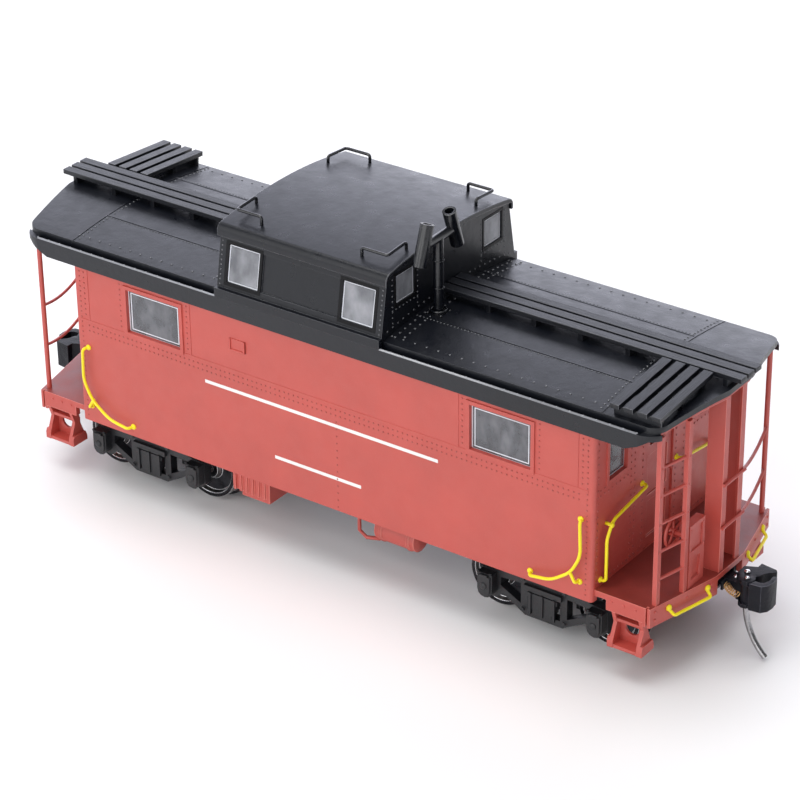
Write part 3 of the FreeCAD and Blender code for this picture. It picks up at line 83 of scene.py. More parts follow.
def roof_normal(y):
    """The direction straight out of the main roof at a distance from the middle line."""
    return Vector((0, y, math.sqrt(ROOF_RADIUS ** 2 - y ** 2))).normalized()


# ---------------------------------------------------------------- materials


RANGE_SOCKETS = ("From Min", "From Max", "To Min", "To Max")
NOISE_RANGE = (0.3, 0.7)


class Shader:
    """A principled material whose textures are laid out in millimetres of the model's own frame."""

    def __init__(self, name, **settings):
        """Settings are the principled shader's own sockets, with underscores for spaces."""
        self.material = bpy.data.materials.new(name)
        self.material.use_nodes = True
        self.tree = self.material.node_tree
        self.principled = self.tree.nodes["Principled BSDF"]
        for socket, value in settings.items():
            self.principled.inputs[socket.replace("_", " ")].default_value = value
        place = self.add("ShaderNodeTexCoord")
        scale = self.add("ShaderNodeMapping")
        scale.inputs["Scale"].default_value = (1 / MM,) * 3
        self.tree.links.new(place.outputs["Object"], scale.inputs["Vector"])
        self.place = scale.outputs["Vector"]

    def add(self, kind):
        """A new node."""
        return self.tree.nodes.new(kind)

    def stretched(self, scale):
        """The place, stretched along the axes."""
        mapping = self.add("ShaderNodeMapping")
        mapping.inputs["Scale"].default_value = scale
        self.tree.links.new(self.place, mapping.inputs["Vector"])
        return mapping.outputs["Vector"]

    def noise(self, scale, detail=3, place=None):
        """A grey noise, where scale is in waves per millimetre."""
        texture = self.add("ShaderNodeTexNoise")
        texture.inputs["Scale"].default_value = scale
        texture.inputs["Detail"].default_value = detail
        self.tree.links.new(place or self.place, texture.inputs["Vector"])
        return texture.outputs["Fac"]

    def spread(self, source, low, high):
        """A grey value moved from the noise's middle range to another range."""
        ranged = self.add("ShaderNodeMapRange")
        for socket, value in zip(RANGE_SOCKETS, (*NOISE_RANGE, low, high)):
            ranged.inputs[socket].default_value = value
        self.tree.links.new(source, ranged.inputs["Value"])
        return ranged.outputs["Result"]

    def mix(self, factor, first, second):
        """A colour between two others."""
        mixed = self.add("ShaderNodeMix")
        mixed.data_type = "RGBA"
        self.tree.links.new(factor, mixed.inputs["Factor"])
        for name, value in (("A", first), ("B", second)):
            socket = next(s for s in mixed.inputs if s.name == name and s.type == "RGBA")
            if isinstance(value, tuple):
                socket.default_value = (*value, 1)
            else:
                self.tree.links.new(value, socket)
        return next(s for s in mixed.outputs if s.type == "RGBA")

    def colour(self, source):
        """Take the base colour from a source."""
        self.tree.links.new(source, self.principled.inputs["Base Color"])

    def rough(self, source):
        """Take the roughness from a source."""
        self.tree.links.new(source, self.principled.inputs["Roughness"])

    def facing(self, axis, low, high, either_way=False):
        """A grey value that goes from 0 to 1 as the surface turns to look along an axis of the model."""
        place = self.add("ShaderNodeTexCoord")
        split = self.add("ShaderNodeSeparateXYZ")
        self.tree.links.new(place.outputs["Normal"], split.inputs["Vector"])
        source = split.outputs[axis]
        if either_way:
            absolute = self.add("ShaderNodeMath")
            absolute.operation = "ABSOLUTE"
            self.tree.links.new(source, absolute.inputs[0])
            source = absolute.outputs["Value"]
        ranged = self.add("ShaderNodeMapRange")
        ranged.inputs["From Min"].default_value = low
        ranged.inputs["From Max"].default_value = high
        self.tree.links.new(source, ranged.inputs["Value"])
        return ranged.outputs["Result"]

    def bump(self, *sources):
        """Stack height sources, each with its depth in millimetres."""
        normal = None
        for source, depth in sources:
            bump = self.add("ShaderNodeBump")
            bump.inputs["Distance"].default_value = depth * MM
            self.tree.links.new(source, bump.inputs["Height"])
            if normal:
                self.tree.links.new(normal, bump.inputs["Normal"])
            normal = bump.outputs["Normal"]
        self.tree.links.new(normal, self.principled.inputs["Normal"])


def shade(colour, factor):
    """A colour made lighter or darker."""
    return tuple(min(1, value * factor) for value in colour)


def moulded(name, colour, rough, grain=0.02, vary=0.12, **settings):
    """Painted, moulded plastic: a faint cloudiness, fine paint grain and uneven gloss."""
    shader = Shader(name, **settings)
    clouds = shader.noise(0.16, 2)
    speckle = shader.noise(5, 2)
    body = shader.mix(shader.spread(clouds, 0, 1), shade(colour, 1 - vary), shade(colour, 1 + vary))
    shader.colour(shader.mix(shader.spread(speckle, 0, 0.35), body, shade(colour, 1 + 2 * vary)))
    shader.rough(shader.spread(shader.noise(0.5), rough - 0.06, rough + 0.06))
    shader.bump((shader.noise(9, 2), grain), (shader.noise(1.1, 2), grain * 2))
    return shader.material


def board(name, colour, along):
    """A moulded plank with grain along one axis."""
    shader = Shader(name, Specular_IOR_Level=0.5)
    scale = (0.12, 3.5, 3.5) if along == "x" else (3.5, 0.12, 3.5)
    grain = shader.noise(2.2, 5, shader.stretched(scale))
    shader.colour(shader.mix(shader.spread(grain, 0, 1), shade(colour, 0.6), shade(colour, 1.5)))
    shader.rough(shader.spread(grain, 0.48, 0.34))
    shader.bump((grain, 0.05), (shader.noise(6, 2), 0.012))
    return shader.material


def metal(name, colour, rough, grain_scale=(1, 1, 1), grain=0.008, vary=0.25, **settings):
    """Bare metal with turning or drawing marks."""
    shader = Shader(name, Metallic=1, **settings)
    marks = shader.noise(4, 3, shader.stretched(grain_scale))
    shader.colour(shader.mix(shader.spread(marks, 0, 1), shade(colour, 1 - vary), shade(colour, 1 + vary)))
    shader.rough(shader.spread(marks, rough - 0.08, rough + 0.1))
    shader.bump((marks, grain))
    return shader.material


def wheel_metal():
    """Darkened wheel faces with bright turned treads, told apart by which way the surface looks."""
    shader = Shader("wheel_metal", Metallic=1)
    face = shader.facing("Y", 0.35, 0.6, either_way=True)
    clouds = shader.noise(0.8, 4)
    dark = shader.mix(shader.spread(clouds, 0, 1), (0.02, 0.02, 0.024), (0.05, 0.05, 0.056))
    bright = shader.mix(shader.spread(clouds, 0, 1), (0.36, 0.34, 0.33), (0.55, 0.53, 0.52))
    shader.colour(shader.mix(face, bright, dark))
    shader.rough(shader.spread(clouds, 0.24, 0.42))
    shader.bump((shader.noise(3, 3), 0.01))
    return shader.material


def deck_painted_shade():
    """The body's red, darker where it faces up: painted shade on the deck under the roof."""
    shader = Shader("deck_shaded_red", Specular_IOR_Level=0.7)
    upward_shade = shader.facing("Z", 0.8, 0.95)
    clouds = shader.noise(0.35, 4)
    # Painted shade: a darker red for the upward faces, with random clouds in it.
    shade_tone = shader.mix(shader.spread(clouds, 0, 1), shade(RED, 0.42), shade(RED, 0.6))
    shader.colour(shader.mix(upward_shade, RED, shade_tone))
    shader.rough(shader.spread(clouds, 0.36, 0.5))
    shader.bump((shader.noise(9, 2), 0.015), (clouds, 0.03))
    return shader.material


def clear_plastic(name, dark, light):
    """Clear moulded panes with a slight haze between two greys."""
    shader = Shader(name, IOR=1.5, Transmission_Weight=0.55)
    haze = shader.noise(0.45, 4, shader.stretched((1, 1, 0.6)))
    shader.colour(shader.mix(shader.spread(haze, 0, 1), dark, light))
    shader.rough(shader.spread(haze, 0.05, 0.18))
    shader.bump((shader.noise(0.35, 2), 0.04), (shader.noise(2.5, 2), 0.01))
    return shader.material


RED = (0.50, 0.066, 0.048)
BLACK = (0.0045, 0.0055, 0.009)
TRUCK_BLACK = (0.008, 0.0085, 0.011)
YELLOW = (0.98, 0.80, 0.012)

red = moulded("red_plastic", RED, 0.5, 0.015, 0.06, Specular_IOR_Level=0.85)
# Lighter, glossier red for bevelled edges: a painted highlight along the edges of red parts.
red_highlight_edge = moulded("red_highlight_edge", (0.66, 0.16, 0.125), 0.34, Specular_IOR_Level=1)
roof_black = moulded("black_roof", BLACK, 0.33, 0.015, Specular_IOR_Level=0.5)
# Dark grey for the bevelled edges of the roof parts: a painted highlight along their edges.
roof_highlight_edge = moulded("black_highlight_edge", (0.045, 0.047, 0.055), 0.22, Specular_IOR_Level=1)
cupola_black = moulded("black_cupola", BLACK, 0.32, 0.011, Specular_IOR_Level=0.45)
board_x = board("roof_board_along", BLACK, "x")
board_y = board("roof_board_across", BLACK, "y")
jack_black = moulded("jack_black", shade(BLACK, 0.8), 0.2, 0.01, Specular_IOR_Level=0.8)
truck_black = moulded("truck_plastic", TRUCK_BLACK, 0.38, 0.03, 0.3, Specular_IOR_Level=0.6)
# Lighter black for bevelled truck and coupler-box edges: a painted highlight along the edges.
truck_highlight_edge = moulded("truck_highlight_edge", shade(TRUCK_BLACK, 5), 0.32, Specular_IOR_Level=0.9)
floor_black = moulded("floor_plastic", TRUCK_BLACK, 0.5, 0.03, Specular_IOR_Level=0.5)
yellow = moulded("yellow_wire", YELLOW, 0.38, 0.012, 0.06, Specular_IOR_Level=0.5)
coupler_metal = moulded("coupler_metal", (0.005, 0.005, 0.009), 0.42, 0.04, 0.25, Specular_IOR_Level=0.24)
# Dark grey-blue for bevelled coupler edges: a painted highlight along the edges.
coupler_highlight_edge = moulded("coupler_highlight_edge", (0.06, 0.06, 0.085), 0.32, Specular_IOR_Level=0.9)
pin_steel = metal("pin_steel", (0.36, 0.35, 0.36), 0.2, (2, 2, 0.1), 0.004)
axle_steel = metal("axle_steel", (0.35, 0.34, 0.34), 0.3, (3, 0.3, 3))
screw_steel = metal("screw_steel", (0.16, 0.16, 0.17), 0.35)
weight_steel = metal("weight_steel", (0.36, 0.35, 0.34), 0.42, (0.15, 3, 3))
bronze = metal("spring_bronze", (0.72, 0.44, 0.19), 0.26, (3, 3, 3))
bright_steel = metal("bright_steel", (0.75, 0.75, 0.77), 0.2)
wheels = wheel_metal()
cupola_glass = clear_plastic("clear_glass", (0.27, 0.28, 0.31), (0.66, 0.67, 0.72))
body_glass = clear_plastic("hazy_glass", (0.13, 0.135, 0.15), (0.37, 0.375, 0.41))
# The end platforms' red, with painted shade on the deck.
deck_shaded_red = deck_painted_shade()
# Near-white for pane bevels and rims: a painted highlight where the pane edges catch light.
pane_highlight_edge = moulded("pane_highlight_edge", (0.74, 0.76, 0.82), 0.15, 0.01, Specular_IOR_Level=1)
# Grey, glossy rivet heads on the black roof and cupola: painted highlights.
rivet_highlight_grey = moulded("rivet_highlight_grey", (0.085, 0.087, 0.095), 0.2, 0.01, Specular_IOR_Level=1)
# Light grey, glossy bead on the black eaves: a painted highlight along the eaves.
bead_highlight_grey = moulded("bead_highlight_grey", (0.30, 0.305, 0.33), 0.15, 0.01, Specular_IOR_Level=1)
sash_black = moulded("sash_black", (0.002, 0.002, 0.003), 0.45, 0.01, Specular_IOR_Level=0.25)
# Darker red rivet heads: painted shade round the rivets.
rivet_shaded_red = moulded("rivet_shaded_red", shade(RED, 0.74), 0.45, 0.01, Specular_IOR_Level=0.85)
white_paint = moulded("white_paint", (0.86, 0.85, 0.83), 0.5, 0.01, 0.03, Specular_IOR_Level=0.5)

# ---------------------------------------------------------------- dressing the CAD nodes


def dress(node, material, edge=None, width=0.1, angle=35):
    """Give a CAD node its material and softened edges, whose narrow faces take the edge material; where that
    is lighter, it paints a highlight along the edges.
    """
    piece = frame["nodes"][node]
    piece.data.materials.clear()
    piece.data.materials.append(material)
    piece.data.materials.append(edge or material)
    if width:
        weld = piece.modifiers.new("weld", "WELD")
        weld.merge_threshold = 0.002 * MM
        bevel = piece.modifiers.new("bevel", "BEVEL")
        bevel.width = width * MM
        bevel.segments = 2
        bevel.limit_method = "ANGLE"
        bevel.angle_limit = math.radians(angle)
        bevel.material = 1
        bevel.harden_normals = False
        normals = piece.modifiers.new("normals", "WEIGHTED_NORMAL")
        normals.keep_sharp = False
    return piece


for label in ("body_shell", "end_doors", "end_carlines", "tool_box", "air_reservoir", "brake_cylinder"):
    dress(label, red, red_highlight_edge, 0.08)
dress("corner_posts", red, width=0)
for end, _ in ENDS:
    dress(f"end_platform_{end}", deck_shaded_red, red_highlight_edge, 0.08)
    dress(f"steps_{end}", red, red_highlight_edge, 0.06)
    dress(f"ladder_{end}", red, red_highlight_edge, 0.05)
    dress(f"centre_posts_{end}", red, red_highlight_edge, 0.05)
    dress(f"end_railing_{end}", red, width=0)
    dress(f"brake_stand_{end}", red, red_highlight_edge, 0.06)
    dress(f"brake_wheel_{end}", red, width=0)
    dress(f"end_grab_irons_{end}", yellow, width=0)
    dress(f"bolster_{end}", truck_black, truck_highlight_edge, 0.08)
    dress(f"side_frames_{end}", truck_black, truck_highlight_edge, 0.09)
    dress(f"coupler_box_{end}", floor_black, truck_highlight_edge, 0.06)
    dress(f"coupler_head_{end}", coupler_metal, coupler_highlight_edge, 0.09)
    dress(f"knuckle_{end}", coupler_metal, coupler_highlight_edge, 0.09)
    dress(f"trip_pin_{end}", pin_steel, width=0)
dress("side_grab_irons", yellow, width=0)
dress("main_roof", roof_black, roof_highlight_edge, 0.12)
dress("cupola_roof", cupola_black, roof_highlight_edge, 0.12)
dress("cupola_body", cupola_black, roof_highlight_edge, 0.07)
dress("cupola_grab_rails", jack_black, width=0)
dress("running_boards", board_x, roof_highlight_edge, 0.07)
dress("lateral_boards", board_y, roof_highlight_edge, 0.07)
dress("smoke_jack", jack_black, roof_highlight_edge, 0.06)
dress("body_glazing", body_glass, pane_highlight_edge, 0.2)
dress("cupola_glazing", cupola_glass, pane_highlight_edge, 0.22)
dress("floor_pan", floor_black, width=0.08)
dress("ballast_weight", weight_steel, width=0.15)
dress("truck_screws", screw_steel, width=0.06)
dress("coupler_screws", screw_steel, width=0.05)
dress("centring_springs", bronze, width=0)
for number in range(1, 5):
    dress(f"axle_{number}", axle_steel, width=0)
    dress(f"wheels_{number}", wheels, bright_steel, 0.05)

# ---------------------------------------------------------------- mesh tools


def basis(normal):
    """Two directions across a normal."""
    normal = Vector(normal).normalized()
    across = normal.orthogonal().normalized()
    return across, normal.cross(across), normal


def ring_of(bm, centre, across, over, radius, sides, lift=Vector()):
    """A ring of points in the plane of two directions, lifted off its centre."""
    ring = []
    for index in range(sides):
        angle = 2 * math.pi * index / sides
        spot = across * math.cos(angle) + over * math.sin(angle)
        ring.append(bm.verts.new(centre + spot * radius + lift))
    return ring


def skin(bm, rings):
    """Faces from each ring to the next."""
    for low, high in zip(rings, rings[1:]):
        for index in range(len(low)):
            after = (index + 1) % len(low)
            bm.faces.new((low[index], low[after], high[after], high[index]))


def dome(bm, centre, normal, radius, height, sides=8, sink=0.05 * MM):
    """A closed, low rivet head that stands on a surface."""
    across, over, out = basis(normal)
    centre = Vector(centre)
    levels = ((1, -sink), (0.94, height * 0.4), (0.6, height * 0.85))
    rings = [ring_of(bm, centre, across, over, radius * share, sides, out * rise) for share, rise in levels]
    top = bm.verts.new(centre + out * height)
    bm.faces.new(list(reversed(rings[0])))
    skin(bm, rings)
    for index in range(sides):
        bm.faces.new((rings[-1][index], rings[-1][(index + 1) % sides], top))


BOX_FACES = ((0, 2, 3, 1), (4, 5, 7, 6), (0, 1, 5, 4), (2, 6, 7, 3), (0, 4, 6, 2), (1, 3, 7, 5))


def block(bm, low, high, turn=None):
    """A box between two corners, turned by a matrix if one is given."""
    xs, ys, zs = zip(low, high)
    corners = [Vector((x, y, z)) for z in zs for y in ys for x in xs]
    if turn:
        corners = [turn @ corner for corner in corners]
    v = [bm.verts.new(corner) for corner in corners]
    for face in BOX_FACES:
        bm.faces.new([v[index] for index in face])


def tube(bm, points, radius, sides=10):
    """A round wire through points, closed at both ends. The first ring's direction is carried along."""
    points = [Vector(point) for point in points]
    rings = []
    across = None
    for index, point in enumerate(points):
        before = points[max(index - 1, 0)]
        after = points[min(index + 1, len(points) - 1)]
        along = (after - before).normalized()
        if across is None:
            across = along.orthogonal().normalized()
        across = (across - along * across.dot(along)).normalized()
        rings.append(ring_of(bm, point, across, along.cross(across), radius, sides))
    skin(bm, rings)
    bm.faces.new(list(reversed(rings[0])))
    bm.faces.new(rings[-1])


def bolt(bm, centre, normal, radius, height):
    """A six-sided bolt head on a thin washer."""
    dome(bm, centre, normal, radius * 1.35, height * 0.3, 12)
    across, over, out = basis(normal)
    levels = ((1, 0), (1, height * 0.85), (0.85, height))
    centre = Vector(centre)
    rings = [ring_of(bm, centre, across, over, radius * share, 6, out * rise) for share, rise in levels]
    bm.faces.new(list(reversed(rings[0])))
    skin(bm, rings)
    bm.faces.new(rings[-1])


def frame_of(bm, centre, half, normal, up, width, proud):
    """A flat rectangular frame of four bars round an opening."""
    across = up.cross(normal)
    turn = Matrix((across, up, normal)).transposed().to_4x4()
    turn.translation = centre
    back = -0.05 * MM
    w, h = half
    bars = (
        ((-w - width, -h - width), (w + width, -h)),
        ((-w - width, h), (w + width, h + width)),
        ((-w - width, -h), (-w, h)),
        ((w, -h), (w + width, h)),
    )
    for low, high in bars:
        block(bm, (*low, back), (*high, proud), turn)


def row(start, end, spacing):
    """Evenly spaced points from one point to another."""
    start, end = Vector(start), Vector(end)
    count = max(1, round((end - start).length / spacing))
    return [start.lerp(end, index / count) for index in range(count + 1)]


def piece_of(bm, name, material, body, bevel=0, smooth=True):
    """Finish a mesh as a piece that rides on a body."""
    mesh = bpy.data.meshes.new(name)
    bm.to_mesh(mesh)
    bm.free()
    mesh.materials.append(material)
    if smooth:
        mesh.shade_smooth()
    else:
        mesh.shade_flat()
    piece = bpy.data.objects.new(name, mesh)
    bpy.context.scene.collection.objects.link(piece)
    if bevel:
        softened = piece.modifiers.new("bevel", "BEVEL")
        softened.width = bevel * MM
        softened.segments = 2
        softened.limit_method = "ANGLE"
        piece.modifiers.new("normals", "WEIGHTED_NORMAL")
    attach(piece, body)
    return piece


RIVET = 0.17 * MM
RIVET_HIGH = 0.10 * MM
SINK = 0.1 * MM
SIDE_RIVET = 0.15 * MM
SIDE_RIVET_HIGH = 0.09 * MM

# ---------------------------------------------------------------- rivets and seams of the body


def side_points(side):
    """Where the rivets of one side stand."""
    y = BODY_Y * side
    points = []
    for z in (BELT - 0.75 * MM, BELT - 1.6 * MM):
        points += row((-BODY_X + 2.4 * MM, y, z), (BODY_X - 2.4 * MM, y, z), 0.8 * MM)
    for way in (-1, 1):
        for x in (WINDOW_INNER - 0.75 * MM, WINDOW_OUTER + 0.75 * MM, BODY_X - 1.9 * MM):
            points += row((x * way, y, BELT + 0.9 * MM), (x * way, y, EAVES_LOW), 0.8 * MM)
        corner = (BODY_X - 1.1 * MM) * way
        points += row((corner, y, BODY_LOW + 0.9 * MM), (corner, y, EAVES_LOW), 0.8 * MM)
    points += row((2.5 * MM, y, BELT - 2.6 * MM), (2.5 * MM, y, BODY_LOW + 0.6 * MM), 1.1 * MM)
    return points


END_RIVET_COLUMNS = ((15.2, 35.0), (7.1, 35.8), (6.2, 35.8), (4.2, 34.6))
END_RIVET_ROWS = (13.0, 26.1, 26.9)


def end_points(way, side):
    """Where the rivets of half an end wall stand."""
    x = BODY_X * way
    top = EAVES_LOW + 0.8 * MM
    points = []
    for y, high in END_RIVET_COLUMNS:
        points += row((x, y * side * MM, 13.3 * MM), (x, y * side * MM, min(high * MM, top)), 1.0 * MM)
    for z in END_RIVET_ROWS:
        inner = 4.9 if z < 20 else 7.9
        points += row((x, inner * side * MM, z * MM), (x, 14.6 * side * MM, z * MM), 0.95 * MM)
    points += row((x, 7.9 * side * MM, top), (x, 13.4 * side * MM, top), 0.95 * MM)
    return points


def body_rivets():
    """The rivet heads on the sides and the end walls, in a darker red as painted shade."""
    bm = bmesh.new()
    for side in (-1, 1):
        for point in side_points(side):
            dome(bm, point, (0, side, 0), SIDE_RIVET, SIDE_RIVET_HIGH, 6)
        for _, way in ENDS:
            for point in end_points(way, side):
                dome(bm, point, (way, 0, 0), RIVET, RIVET_HIGH)
    return piece_of(bm, "body_rivets", rivet_shaded_red, "car_body")


def body_seams():
    """Lapped plate edges on the sides: the belt at window-bottom height and the joints above it."""
    proud = 0.06 * MM
    half = 0.13 * MM
    bm = bmesh.new()
    for side in (-1, 1):
        face = BODY_Y * side
        y = sorted((face - SINK * side, face + proud * side))
        spans = [(-BODY_X + 0.9 * MM, -WINDOW_OUTER), (-WINDOW_INNER, WINDOW_INNER),
                 (WINDOW_OUTER, BODY_X - 0.9 * MM)]
        for low, high in spans:
            block(bm, (low, y[0], BELT - half), (high, y[1], BELT + half))
        for way in (-1, 1):
            for x in (WINDOW_INNER - 1.35 * MM, BODY_X - 2.6 * MM):
                block(bm, (x * way - half / 2, y[0], BELT), (x * way + half / 2, y[1], EAVES_LOW + 0.2 * MM))
    return piece_of(bm, "body_seams", red, "car_body", 0.03)


def placard():
    """A small blank card holder on each side, with a raised rim."""
    low = Vector((-15.6, 0, 30.3)) * MM
    high = Vector((-12.9, 0, 32.1)) * MM
    rim = 0.24 * MM
    deep = 0.28 * MM
    thin = 0.12 * MM
    bm = bmesh.new()
    for side in (-1, 1):
        way = -side
        x0, x1 = sorted((low.x * way, high.x * way))
        wall = BODY_Y * side

        def bar(xa, xb, za, zb, proud):
            """One flat bar on the wall."""
            ya, yb = sorted((wall - SINK * side, wall + proud * side))
            block(bm, (xa, ya, za), (xb, yb, zb))

        bar(x0, x1, low.z, high.z, thin)
        bar(x0, x0 + rim, low.z, high.z, deep)
        bar(x1 - rim, x1, low.z, high.z, deep)
        bar(x0 + rim, x1 - rim, low.z, low.z + rim, deep)
    return piece_of(bm, "card_holders", red, "car_body", 0.04)


HINGE_HEIGHTS = (15.5, 22.0, 31.0)


def door_fittings():
    """Knobs and hinges on the end doors."""
    face = BODY_X - 0.3 * MM
    bm = bmesh.new()
    for _, way in ENDS:
        for z in HINGE_HEIGHTS:
            hinge = (face * way, -3.3 * way * MM, (z - 0.5) * MM)
            tube(bm, [hinge, (hinge[0], hinge[1], (z + 0.5) * MM)], 0.16 * MM, 8)
        knob = Vector((face * way, 2.75 * way * MM, 22.4 * MM))
        tube(bm, [knob, knob + Vector((0.35 * way * MM, 0, 0))], 0.12 * MM, 8)
        dome(bm, knob + Vector((0.3 * way * MM, 0, 0)), (way, 0, 0), 0.3 * MM, 0.3 * MM, 12)
    return piece_of(bm, "door_fittings", red, "car_body")


LINES = ((-20.35, 19.35, 23.88), (-8.3, 6.5, 15.6))
LINE_HALF = 0.25


def side_lining():
    """Two plain painted lines on each side."""
    thin = 0.03 * MM
    bm = bmesh.new()
    for side in (-1, 1):
        y = sorted(((BODY_Y - thin) * side, (BODY_Y + thin) * side))
        for x0, x1, z in LINES:
            low, high = sorted((-x0 * side * MM, -x1 * side * MM))
            block(bm, (low, y[0], (z - LINE_HALF) * MM), (high, y[1], (z + LINE_HALF) * MM))
    return piece_of(bm, "side_lining", white_paint, "car_body", smooth=False)


def pane_steps():
    """The thin stepped rims that show round the inside of each side window's pane, near-white as a painted
    highlight.
    """
    _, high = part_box("body_glazing")
    y = high.y - 0.02 * MM
    middle = (WINDOW_INNER + WINDOW_OUTER) / 2
    half = ((WINDOW_OUTER - WINDOW_INNER) / 2 - 1.15 * MM, 2.75 * MM)
    up = Vector((0, 0, 1))
    bm = bmesh.new()
    for side in (-1, 1):
        for way in (-1, 1):
            centre = Vector((middle * way, y * side, WINDOW_MIDDLE))
            frame_of(bm, centre, half, Vector((0, side, 0)), up, 0.13 * MM, 0.06 * MM)
    return piece_of(bm, "pane_steps", pane_highlight_edge, "car_body", smooth=False)


body_rivets()
body_seams()
placard()
door_fittings()
side_lining()
pane_steps()

# ---------------------------------------------------------------- roof detail

CUPOLA_ENDS = (CUPOLA_LOW.x, CUPOLA_HIGH.x)
FASCIA_TOP = 38.0 * MM
BEAD_X = 50.0 * MM
ROOF_JOINT_X = 44.2 * MM
EAVES_ROW_Y = 13.8 * MM
SEAM_PITCH = 0.55 * MM
EAVES_PITCH = 1.85 * MM
JOINT_PITCH = 0.85
FOOT_PITCH = 1.15
CUPOLA_RIVET = 0.14 * MM
CUPOLA_PITCH = 0.85 * MM
CUPOLA_COLUMNS = ((7.5, 41.4), (13.2, 40.6))
CUPOLA_COLUMN_TOP = 47.0 * MM
CUPOLA_ROW_Z = 42.4 * MM
END_WINDOW_Y = 10.3 * MM
END_WINDOW_Z = 45.15 * MM
END_WINDOW_HALF = (2.1 * MM, 2.05 * MM)
SIDE_WINDOW_X = 9.65 * MM
SIDE_WINDOW_Z = 43.0 * MM
SIDE_WINDOW_HALF = (2.65 * MM, 2.72 * MM)


def roof_stretches():
    """The two stretches of the main roof, from each cupola end to the joint near the roof end."""
    gap = 0.3 * MM
    return ((CUPOLA_ENDS[1] + gap, ROOF_JOINT_X), (-ROOF_JOINT_X, CUPOLA_ENDS[0] - gap))


def roof_seams():
    """Thin raised laps along each slope and across the roof near its ends."""
    half, proud = 0.11 * MM, 0.06 * MM
    bm = bmesh.new()
    for low, high in roof_stretches():
        for side in (-1, 1):
            y = SEAM_Y * side
            z = roof_z(y)
            block(bm, (low, y - half, z - SINK), (high, y + half, z + proud))
    steps = 30
    reach = 15.2 * MM
    for way in (-1, 1):
        x = ROOF_JOINT_X * way
        for index in range(steps):
            ya = -reach + 2 * reach * index / steps
            yb = -reach + 2 * reach * (index + 1) / steps
            v = []
            for xx in (x - half, x + half):
                for yy in (ya, yb):
                    for lift in (-SINK, proud):
                        v.append(bm.verts.new((xx, yy, roof_z(yy) + lift)))
            for face in BOX_FACES:
                bm.faces.new([v[number] for number in face])
    return piece_of(bm, "roof_seams", roof_black, "car_body", smooth=False)


def roof_rivets():
    """Rows along the seams, the eaves and the end joints, and two rows at each foot of the cupola, in a
    lighter grey as painted highlights.
    """
    bm = bmesh.new()

    def stud(x, y, radius):
        """One low head on the roof."""
        dome(bm, (x, y, roof_z(y)), roof_normal(y), radius, radius * 0.6)

    for low, high in roof_stretches():
        for side in (-1, 1):
            for point in row((low, 0, 0), (high, 0, 0), SEAM_PITCH):
                stud(point.x, (SEAM_Y + 0.33 * MM) * side, 0.13 * MM)
            for point in row((low, 0, 0), (high, 0, 0), EAVES_PITCH):
                stud(point.x, EAVES_ROW_Y * side, 0.17 * MM)
    for way in (-1, 1):
        for step in range(-17, 18):
            stud((ROOF_JOINT_X - 0.6 * MM) * way, step * JOINT_PITCH * MM, 0.16 * MM)
    for x, way in zip(CUPOLA_ENDS, (-1, 1)):
        for step in range(-12, 13):
            stud(x + 0.8 * MM * way, step * FOOT_PITCH * MM, 0.19 * MM)
            stud(x + 2.0 * MM * way, (step + 0.5) * FOOT_PITCH * MM, 0.19 * MM)
    return piece_of(bm, "roof_rivets", rivet_highlight_grey, "car_body")


def cupola_rivets():
    """Rivets up the corners of the cupola and over its end walls, in a lighter grey than the black as painted
    highlights.
    """
    bm = bmesh.new()
    lean = Vector((0, CUPOLA_FOOT_Y - CUPOLA_HEAD_Y, CUPOLA_HEAD - CUPOLA_FOOT))
    out = Vector((0, lean.z, lean.y)).normalized()
    for side in (-1, 1):
        normal = Vector((0, out.y * side, out.z))
        for x in (CUPOLA_ENDS[0] + 0.45 * MM, CUPOLA_ENDS[1] - 0.45 * MM):
            foot = Vector((x, CUPOLA_FOOT_Y * side, CUPOLA_FOOT))
            head = Vector((x, CUPOLA_HEAD_Y * side, CUPOLA_HEAD))
            for point in row(foot.lerp(head, 0.05), foot.lerp(head, 0.88), 0.72 * MM):
                dome(bm, point, normal, CUPOLA_RIVET, 0.08 * MM)
    for x, way in zip(CUPOLA_ENDS, (-1, 1)):
        for side in (-1, 1):
            for step in range(10):
                y = (3.6 + 1.2 * step) * MM
                dome(bm, (x, y * side, roof_z(y) + 0.9 * MM), (way, 0, 0), 0.16 * MM, 0.09 * MM)
            for y, low in CUPOLA_COLUMNS:
                y = y * side * MM
                for point in row((x, y, low * MM), (x, y, CUPOLA_COLUMN_TOP), CUPOLA_PITCH):
                    dome(bm, point, (way, 0, 0), CUPOLA_RIVET, 0.09 * MM)
            inner, outer = (y * side * MM for y, _ in CUPOLA_COLUMNS)
            for point in row((x, inner, CUPOLA_ROW_Z), (x, outer, CUPOLA_ROW_Z), CUPOLA_PITCH):
                dome(bm, point, (way, 0, 0), CUPOLA_RIVET, 0.09 * MM)
    return piece_of(bm, "cupola_rivets", rivet_highlight_grey, "car_body")


